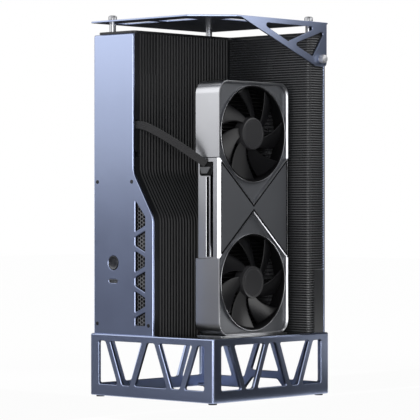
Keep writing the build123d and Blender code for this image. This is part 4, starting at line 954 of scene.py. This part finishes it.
@dataclass
class FanRotor:
    """One fan's rotor, a capped hub with swept, pitched blades, and its sleeve.

    Lengths are in millimetres, and start, span and pitch in degrees. Each station of sweep is a radius
    and how far the blade is swept back there, in degrees.
    """

    body: str
    motor: str
    blade_count: int = 7
    hub_radius: float = 19.5
    hub_height: float = 14.0
    hub_wall: float = 2.0
    hub_hollow: float = 9.0
    groove_depth: float = 0.25
    root_radius: float = 16.5
    tip_radius: float = 55.4
    sleeve_radius: float = 57.85
    sleeve: float = 1.6
    sleeve_depth: float = 16.0
    sleeve_recess: float = 0.3
    start: float = 18.6
    span: float = 32.0
    pitch: float = 20.0
    camber: float = 3.0
    half_chord: float = 20.0
    blade: float = 1.4
    blade_edge: float = 0.4
    rows: int = 16
    columns: int = 10
    sweep: tuple[Point, ...] = ((16.5, 0.0), (36.6, 20.0), (56.7, 33.0))

    def flat_point(self, radius: float, degrees: float) -> Vector:
        """Point in the fan's plane, in millimetres, with the axis along +X."""
        return Vector((0, radius * cos(radians(degrees)), radius * sin(radians(degrees))))

    def blade_point(self, radius: float, share: float, turn: float) -> Vector:
        """Point on a blade's middle surface.

        Args:
            radius: distance from the axis.
            share: place across the blade, from -1 at the trailing edge to 1 at the leading edge.
            turn: the blade's place round the hub, in degrees.

        Returns:
            The point from the fan's centre, in metres, with the axis along +X.
        """
        first = self.start + turn
        root = self.flat_point(self.root_radius, first)
        tip = self.flat_point(self.tip_radius, first + through(self.sweep, self.tip_radius))
        across = Vector((1, 0, 0)).cross((tip - root).normalized())
        spot = self.flat_point(radius, first + through(self.sweep, radius) + share * self.span / 2)
        offset = (spot - root).dot(across)
        bow = self.camber * (0.5 - (offset / self.half_chord) ** 2)
        spot.x = offset * tan(radians(self.pitch)) + bow
        return spot * MM

    def build(self) -> None:
        """Make the blades and the hub in place of the CAD rotor, and the sleeve round them."""
        low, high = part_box(self.motor)
        seat = (low + high) / 2
        seat.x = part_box(self.body)[0].x
        self.build_blades(seat)
        self.build_hub(seat)
        self.build_sleeve(seat)

    def build_blades(self, seat: Vector) -> None:
        """Make the blades.

        Args:
            seat: the place of the hub's foot on the axis, in metres.
        """
        shape = bmesh.new()
        for index in range(self.blade_count):
            turn = index * 360 / self.blade_count
            grid = []
            for row in range(self.rows + 1):
                radius = self.root_radius + (self.tip_radius - self.root_radius) * row / self.rows
                shares = (2 * column / self.columns - 1 for column in range(self.columns + 1))
                points = (self.blade_point(radius, share, turn) for share in shares)
                grid.append([shape.verts.new(point) for point in points])
            for here, beyond in zip(grid, grid[1:]):
                for column in range(self.columns):
                    after = column + 1
                    shape.faces.new((here[column], here[after], beyond[after], beyond[column]))
        name = f"{self.body}_blades"
        mesh = to_mesh(shape, name)
        mesh.shade_smooth()
        blades = add_piece(name, mesh, FAN_PLASTIC, self.body, [self.body])
        blades.matrix_world = Matrix.Translation(seat + Vector((self.hub_height / 2 * MM, 0, 0)))
        thicken(blades, self.blade)
        soften(blades, self.blade_edge)

    def build_hub(self, seat: Vector) -> None:
        """Turn the hub, a cup with a groove round its cap.

        Args:
            seat: the place of its foot on the axis, in metres.
        """
        radius, height = self.hub_radius, self.hub_height
        groove_floor = height - self.groove_depth
        cap = circles(
            (2.0, height), (radius - 4.2, height), (radius - 3.9, groove_floor),
            (radius - 3.5, groove_floor), (radius - 3.2, height), (radius - 1.6, height),
        )
        wall = circles(
            (radius - 0.5, height - 0.4), (radius, height - 1.6), (radius, 0.0),
            (radius - self.hub_wall, 0.0), (radius - self.hub_wall - 0.2, self.hub_hollow),
        )
        cup = TurnedPiece(cap + wall, steps=96)
        name = f"{self.body}_hub"
        hub = add_piece(name, cup.mesh(name), HUB_PLASTIC, self.body)
        hub.matrix_world = facing(seat, "+X")

    def build_sleeve(self, seat: Vector) -> None:
        """Turn the black sleeve that stands round the blades and stays still.

        Args:
            seat: a place on the axis, in metres.
        """
        outer, bore, depth = self.sleeve_radius, self.sleeve_radius - self.sleeve, self.sleeve_depth
        tube = TurnedPiece(
            circles((bore + 0.4, 0.0), (outer, -0.1), (outer, -depth), (bore, -depth), (bore, -0.4)),
            steps=128, hollow=True,
        )
        name = f"{self.body}_sleeve"
        sleeve = add_piece(name, tube.mesh(name), CONNECTOR)
        front_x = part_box("fan_trim_rings")[1].x - self.sleeve_recess * MM
        sleeve.matrix_world = facing(Vector((front_x, seat.y, seat.z)), "+X")


@dataclass
class GraphicsCard(Assembly):
    """The installed card: frame, panels, fans, cooler and board. Millimetres."""

    frame_edge: float = 0.5
    rim: float = 1.4
    # Black strips on the pockets' upper and left edges: painted shadow that the rims cast on the
    # plates.
    shadow_line_width: float = 1.9
    shadow_line_thickness: float = 0.1
    shadow_line_lift: float = 0.03

    def build(self) -> None:
        """Make the painted shadow lines along the fan pockets, and both fans' rotors."""
        self.build_pocket_shadow_lines()
        for place in ("upper", "lower"):
            FanRotor(f"fan_rotor_{place}", f"fan_motor_{place}").build()

    def build_pocket_shadow_lines(self) -> None:
        """Lay black strips along the upper and left edges of the fan pockets, as painted shadow of the
        rims.
        """
        low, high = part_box("card_frame")
        inset = Vector((1, 1, 1)) * self.rim * MM
        lift = Vector((high.x + self.shadow_line_lift * MM, 0, 0))
        shape = bmesh.new()
        for node in ("card_frame", "card_centre_panel"):
            walls = opening_walls(
                node, axis=0, level=high.x, reach_mm=0.4, low=low + inset, high=high - inset
            )
            for into, ends in walls:
                # Only walls that face right or down get a strip of painted shadow.
                if into.y <= 0.2 and into.z >= -0.8:
                    continue
                edge = [Vector((0, co.y, co.z)) + lift for co in ends]
                back = [spot - Vector((0, into.y, into.z)) * self.shadow_line_width * MM for spot in edge]
                corners = (edge[0], edge[1], back[1], back[0])
                shape.faces.new([shape.verts.new(spot) for spot in corners])
        mesh = to_mesh(shape, "card_pocket_painted_shadow", weld_mm=0.05)
        thicken(add_piece("card_pocket_painted_shadow", mesh, CONNECTOR), self.shadow_line_thickness)

    def dress(self) -> None:
        """Finish the card's nodes."""
        dress_node("card_frame", SILVER, self.frame_edge)
        dress_node("fan_trim_rings", SILVER, MOULD_EDGE)
        dress_node("card_centre_panel", CARD_GREY, MOULD_EDGE)
        dress_node("fan_plate_upper", CARD_GREY)
        dress_node("fan_plate_lower", CARD_GREY)
        dress_node("fan_motor_upper", FAN_PLASTIC)
        dress_node("fan_motor_lower", FAN_PLASTIC)
        dress_node("card_heatsink", FINS)
        dress_node("card_backplate", CARD_GREY, MOULD_EDGE)
        dress_node("card_board", BOARD)
        dress_node("graphics_chip", STEEL_SHEET, MOULD_EDGE)
        dress_node("card_bracket", STEEL_SHEET, FINE_EDGE)
        dress_node("display_sockets", BLACK_STEEL_AND_PAINTED_SHADE)
        dress_node("card_power_socket", CONNECTOR)


@dataclass
class PowerLead(Assembly):
    """Flat power cable from the tower's slot to the card, with its plug. Millimetres."""

    route: tuple[Spot, ...] = (
        (-46.0, -95.2, 330.0), (-28.0, -95.2, 329.5), (-12.0, -93.0, 323.5), (4.0, -87.0, 314.5),
        (20.0, -80.5, 304.0), (30.0, -75.5, 296.5), (40.0, -69.0, 288.5), (47.0, -62.5, 282.0),
    )
    exit: Spot = (-36.0, -95.2, 330.0)
    width: float = 9.4
    thickness: float = 2.8
    wires: int = 4
    wire_steps: int = 8
    furrow: float = 0.72  # the thickness between two wires, as a share of the full one
    plug_setback: float = 1.4  # of the housing's face behind the CAD plug's
    plug_edge: float = 0.8
    # The lever's sides from the plug's sides, and those of its narrower foot from the plug's left.
    lever_sides: Point = (1.2, 1.4)
    lever_toe: Point = (4.0, 12.5)
    # The lever's front and back behind the CAD plug's face, and its foot and top above the plug's foot.
    lever_depths: Point = (0.2, 2.4)
    lever_heights: Point = (1.9, 9.8)
    lever_edge: float = 0.5

    def centreline(self) -> list[Vector]:
        """Run a smooth spline along the route.

        Returns:
            Points along the spline, in metres.
        """
        curve = bpy.data.curves.new("cable_line", "CURVE")
        curve.dimensions = "3D"
        curve.resolution_u = 16
        spline = curve.splines.new("NURBS")
        spline.points.add(len(self.route) - 1)
        for point, spot in zip(spline.points, self.route):
            point.co = (*(Vector(spot) * MM), 1.0)
        spline.order_u = 3
        spline.use_endpoint_u = True
        holder = place_object("cable_line", curve)
        line = bpy.data.meshes.new_from_object(holder)
        points = [vert.co.copy() for vert in line.vertices]
        bpy.data.objects.remove(holder)
        return points

    def section(self) -> list[Point]:
        """Outline of the flat cable, with one rounded bulge for each wire on both faces.

        Returns:
            The places across the cable and above its middle, once round.
        """
        outline = []
        bulge = self.width / self.wires
        for face in (1, -1):
            for step in range(self.wires * self.wire_steps):
                across = (step + 0.5) / self.wire_steps
                into = (across % 1.0) * 2 - 1
                rise = self.thickness / 2 * (self.furrow + (1 - self.furrow) * sqrt(1 - into * into))
                outline.append((face * (across * bulge - self.width / 2), face * rise))
        return outline

    def build(self) -> None:
        """Make the cable along its spline and the plug at its end."""
        plug = self.build_plug()
        points = self.centreline()
        outline = self.section()
        shape = bmesh.new()
        threads = shape.loops.layers.uv.new("threads")
        loops, run = [], 0.0
        for index, spot in enumerate(points):
            before, after = points[max(index - 1, 0)], points[min(index + 1, len(points) - 1)]
            way = (after - before).normalized()
            wide = (Vector((0, 0, 1)) - way * way.z).normalized()
            thin = way.cross(wide)
            run += (spot - points[index - 1]).length if index else 0.0
            loop = [shape.verts.new(spot + (wide * across + thin * up) * MM) for across, up in outline]
            loops.append((run, loop))
        count = len(outline)
        for (start, here), (end, beyond) in zip(loops, loops[1:]):
            for step in range(count):
                after = (step + 1) % count
                face = shape.faces.new((here[step], here[after], beyond[after], beyond[step]))
                girth = 2 * self.width * MM / count
                marks = ((step, start), (step + 1, start), (step + 1, end), (step, end))
                for corner, (round_step, length) in zip(face.loops, marks):
                    corner[threads].uv = (round_step * girth, length)
        shape.faces.new(loops[0][1])
        shape.faces.new(reversed(loops[-1][1]))
        mesh = shade(to_mesh(shape, "flat_power_cable"), crease_degrees=60)
        cable = add_piece("flat_power_cable", mesh, SLEEVE, stands_for=["power_cable"])
        length = sum((a - b).length for a, b in zip(points, points[1:]))

    def build_plug(self) -> bpy.types.Object:
        """Make the plug's housing and the tapered lever on its face.

        Returns:
            The housing.
        """
        low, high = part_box("power_plug")
        shape = bmesh.new()
        add_block(shape, low + Vector((0, self.plug_setback, 0)) * MM, high)
        mesh = to_mesh(shape, "power_plug_housing")
        plug = add_piece(
            "power_plug_housing", mesh, CONNECTOR, stands_for=["power_plug"]
        )
        soften(plug, self.plug_edge, segments=3)
        (left, right), (toe_left, toe_right) = self.lever_sides, self.lever_toe
        (front, back), (foot, top) = self.lever_depths, self.lever_heights
        width = (high.x - low.x) / MM
        near, far = Vector((left, front, foot)), Vector((width - right, back, top))
        lever = bmesh.new()
        add_block(lever, low + near * MM, low + far * MM)
        for vert in lever.verts:
            spot = (vert.co - low) / MM
            if spot.z < (foot + top) / 2:
                vert.co.x = low.x + (toe_left if spot.x < width / 2 else toe_right) * MM
        lever_mesh = to_mesh(lever, "power_plug_lever")
        soften(add_piece("power_plug_lever", lever_mesh, LATCH), self.lever_edge)
        return plug


@dataclass
class Softbox:
    """A rectangular studio light. Metres; radiance 1 shows white in a mirror."""

    name: str
    centre: Spot
    target: Spot
    width: float
    height: float
    radiance: float
    mirrored: bool = True
    scattered: bool = True

    def build(self) -> None:
        """Hang the light and turn it to its target."""
        lamp = bpy.data.lights.new(self.name, "AREA")
        lamp.shape = "RECTANGLE"
        lamp.size = self.width
        lamp.size_y = self.height
        lamp.energy = self.radiance * pi * self.width * self.height
        holder = place_object(self.name, lamp)
        holder.location = self.centre
        way = Vector(self.target) - Vector(self.centre)
        holder.rotation_euler = way.to_track_quat("-Z", "Y").to_euler()
        holder.visible_camera = False
        holder.visible_glossy = self.mirrored
        holder.visible_diffuse = self.scattered


@dataclass
class Flag:
    """A card that keeps light off one side and shows as a darker band in metal. Metres."""

    name: str
    corners: Sequence[Spot]
    colour: str = "#050505"
    roughness: float = 0.9

    def build(self) -> None:
        """Put the card between its corners, out of the camera's sight."""
        card_stock = bpy.data.materials.new(self.name)
        card_stock.use_nodes = True
        shader = card_stock.node_tree.nodes["Principled BSDF"]
        shader.inputs["Base Color"].default_value = linear(self.colour)
        shader.inputs["Roughness"].default_value = self.roughness
        mesh = bpy.data.meshes.new(self.name)
        mesh.from_pydata(self.corners, [], [tuple(range(len(self.corners)))])
        mesh.materials.append(card_stock)
        card = place_object(self.name, mesh)
        card.visible_camera = False


def upright(start: Point, end: Point, low: float, high: float) -> list[Spot]:
    """Corners of a card that stands between two places on the floor."""
    return [(*start, low), (*end, low), (*end, high), (*start, high)]


def flat_card(corner: Point, far_corner: Point, height: float = 0.002) -> list[Spot]:
    """Corners of a level card, which lies just above the floor where no height is given."""
    (left, front), (right, back) = corner, far_corner
    return [(left, front, height), (right, front, height), (right, back, height), (left, back, height)]


@dataclass
class Studio(Assembly):
    """Camera, floor, lights and flags. Metres and degrees."""

    focal_pixels: float = 2330.0
    sensor_mm: float = 36.0
    camera_place: Spot = (1.9175, -2.1041, 0.233)
    camera_turn: float = 42.4
    shift_pixels: float = 5.0
    floor_size: float = 12.0
    ambient: float = 0.65
    floor_glow: float = 0.97

    def build(self) -> None:
        """Set up the studio round the object."""
        bpy.context.scene.view_settings.view_transform = "Standard"
        self.build_camera()
        self.build_world()
        self.build_floor()
        self.build_lights()

    def build_camera(self) -> None:
        """Place the camera level, at the photograph's viewing angle."""
        lens = bpy.data.cameras.new("camera")
        lens.sensor_width = self.sensor_mm
        lens.lens = self.focal_pixels / IMAGE_PIXELS * self.sensor_mm
        lens.shift_y = -self.shift_pixels / IMAGE_PIXELS
        camera = place_object("camera", lens)
        camera.location = self.camera_place
        camera.rotation_euler = (pi / 2, 0, radians(self.camera_turn))
        bpy.context.scene.camera = camera

    @staticmethod
    def seen_directly(tree: bpy.types.NodeTree) -> bpy.types.NodeSocket:
        """Tell the rays that see a thing from those that only light it.

        Args:
            tree: the nodes of the thing's material.

        Returns:
            A socket that is 1 for rays from the camera, in a mirror or through glass, and 0 for others.
        """
        rays = add_node(tree, "ShaderNodeLightPath").outputs
        seen = rays["Is Camera Ray"]
        for kind in ("Is Glossy Ray", "Is Transmission Ray"):
            either = add_node(tree, "ShaderNodeMath", {0: seen, 1: rays[kind]}, operation="MAXIMUM")
            seen = either.outputs[0]
        return seen

    def build_world(self) -> None:
        """Make the white surroundings, at full white only where they are seen."""
        world = bpy.data.worlds.new("white studio")
        bpy.context.scene.world = world
        world.use_nodes = True
        tree = world.node_tree
        level = add_node(
            tree, "ShaderNodeMapRange",
            {"Value": self.seen_directly(tree), "To Min": self.ambient, "To Max": 1.0},
        )
        background = tree.nodes["Background"]
        background.inputs["Color"].default_value = linear("#ffffff")
        tree.links.new(level.outputs[0], background.inputs["Strength"])

    def build_floor(self) -> None:
        """Lay a white floor that keeps the object's shadow."""
        half = self.floor_size / 2
        mesh = bpy.data.meshes.new("floor")
        mesh.from_pydata(
            [(-half, -half, 0), (half, -half, 0), (half, half, 0), (-half, half, 0)], [], [(0, 1, 2, 3)]
        )
        paper = bpy.data.materials.new("white paper floor")
        paper.use_nodes = True
        tree = paper.node_tree
        tree.nodes.clear()
        matte = add_node(tree, "ShaderNodeBsdfDiffuse", {"Color": linear("#f4f4f4")})
        glow = add_node(tree, "ShaderNodeEmission", {"Color": linear("#ffffff"), "Strength": 1.0})
        share = add_node(
            tree, "ShaderNodeMath", {0: self.seen_directly(tree), 1: self.floor_glow},
            operation="MULTIPLY",
        )
        mixed = add_node(
            tree, "ShaderNodeMixShader", {0: share.outputs[0], 1: matte.outputs[0], 2: glow.outputs[0]}
        )
        add_node(tree, "ShaderNodeOutputMaterial", {"Surface": mixed.outputs[0]})
        mesh.materials.append(paper)
        place_object("floor", mesh)

    def build_lights(self) -> None:
        """Hang the softboxes and set the flags."""
        middle = (0.0, 0.0, 0.25)
        for softbox in (
            Softbox("left front softbox", (-0.59, -0.73, 0.74), (0.0, -0.1, 0.44), 0.9, 0.64, 0.8),
            Softbox("key light", (0.885, -1.245, 0.625), middle, 0.3, 0.3, 4.0),
            Softbox("camera side softbox", (1.05, -1.15, 0.3), middle, 0.7, 0.5, 4.0),
            Softbox(
                "low front softbox", (0.4, -0.548, 0.055), (0.0, -0.1, 0.05), 0.4, 0.1, 3.0,
                scattered=False,
            ),
            Softbox("overhead softbox", (0.0, -0.1, 1.4), middle, 1.2, 1.2, 0.6, mirrored=False),
            Softbox(
                "back right top softbox", (0.7, 0.6, 1.1), (0.06, 0.0, 0.25), 0.7, 0.7, 6.0,
                mirrored=False,
            ),
            Softbox("gusset softbox", (0.406, 0.192, 0.5), (0.0975, 0.0, 0.44), 0.22, 0.16, 1.7),
            Softbox(
                "pocket softbox", (0.122, 0.03, 0.088), (0.07, 0.03, 0.17), 0.07, 0.04, 3.5,
                scattered=False,
            ),
        ):
            softbox.build()
        for flag in (
            Flag("lower left flag", upright((-0.93, -0.28), (-0.12, -1.02), 0.0, 0.27), "#abacb2"),
            Flag("right flag", upright((0.085, 0.83), (0.823, 0.156), 0.07, 0.55)),
            Flag("right flag foot", upright((0.47, 0.478), (0.823, 0.156), 0.0, 0.07)),
            Flag("back flag", upright((-0.635, 0.03), (0.03, 0.635), 0.0, 0.6)),
            Flag("top right flag", flat_card((0.12, -0.3), (0.62, 0.1), 0.72)),
            Flag("left floor flag", flat_card((-0.93, -1.02), (0.1, -0.108)), "#8b8c90"),
            Flag("right floor flag", flat_card((0.108, -0.3), (0.85, 0.5))),
            Flag("floor flag under the base", flat_card((-0.1, -0.1), (0.092, 0.6))),
        ):
            flag.build()


def main() -> None:
    """Build the studio and every sub-assembly."""
    logging.basicConfig(level=logging.INFO, format="%(name)s: %(message)s")
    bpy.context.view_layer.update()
    for assembly in (Studio(), PowerLead(), Base(), Tower(), BackWall(), TopPlate(), GraphicsCard()):
        assembly.build()
        assembly.dress()


if __name__ == "__main__":
    main()
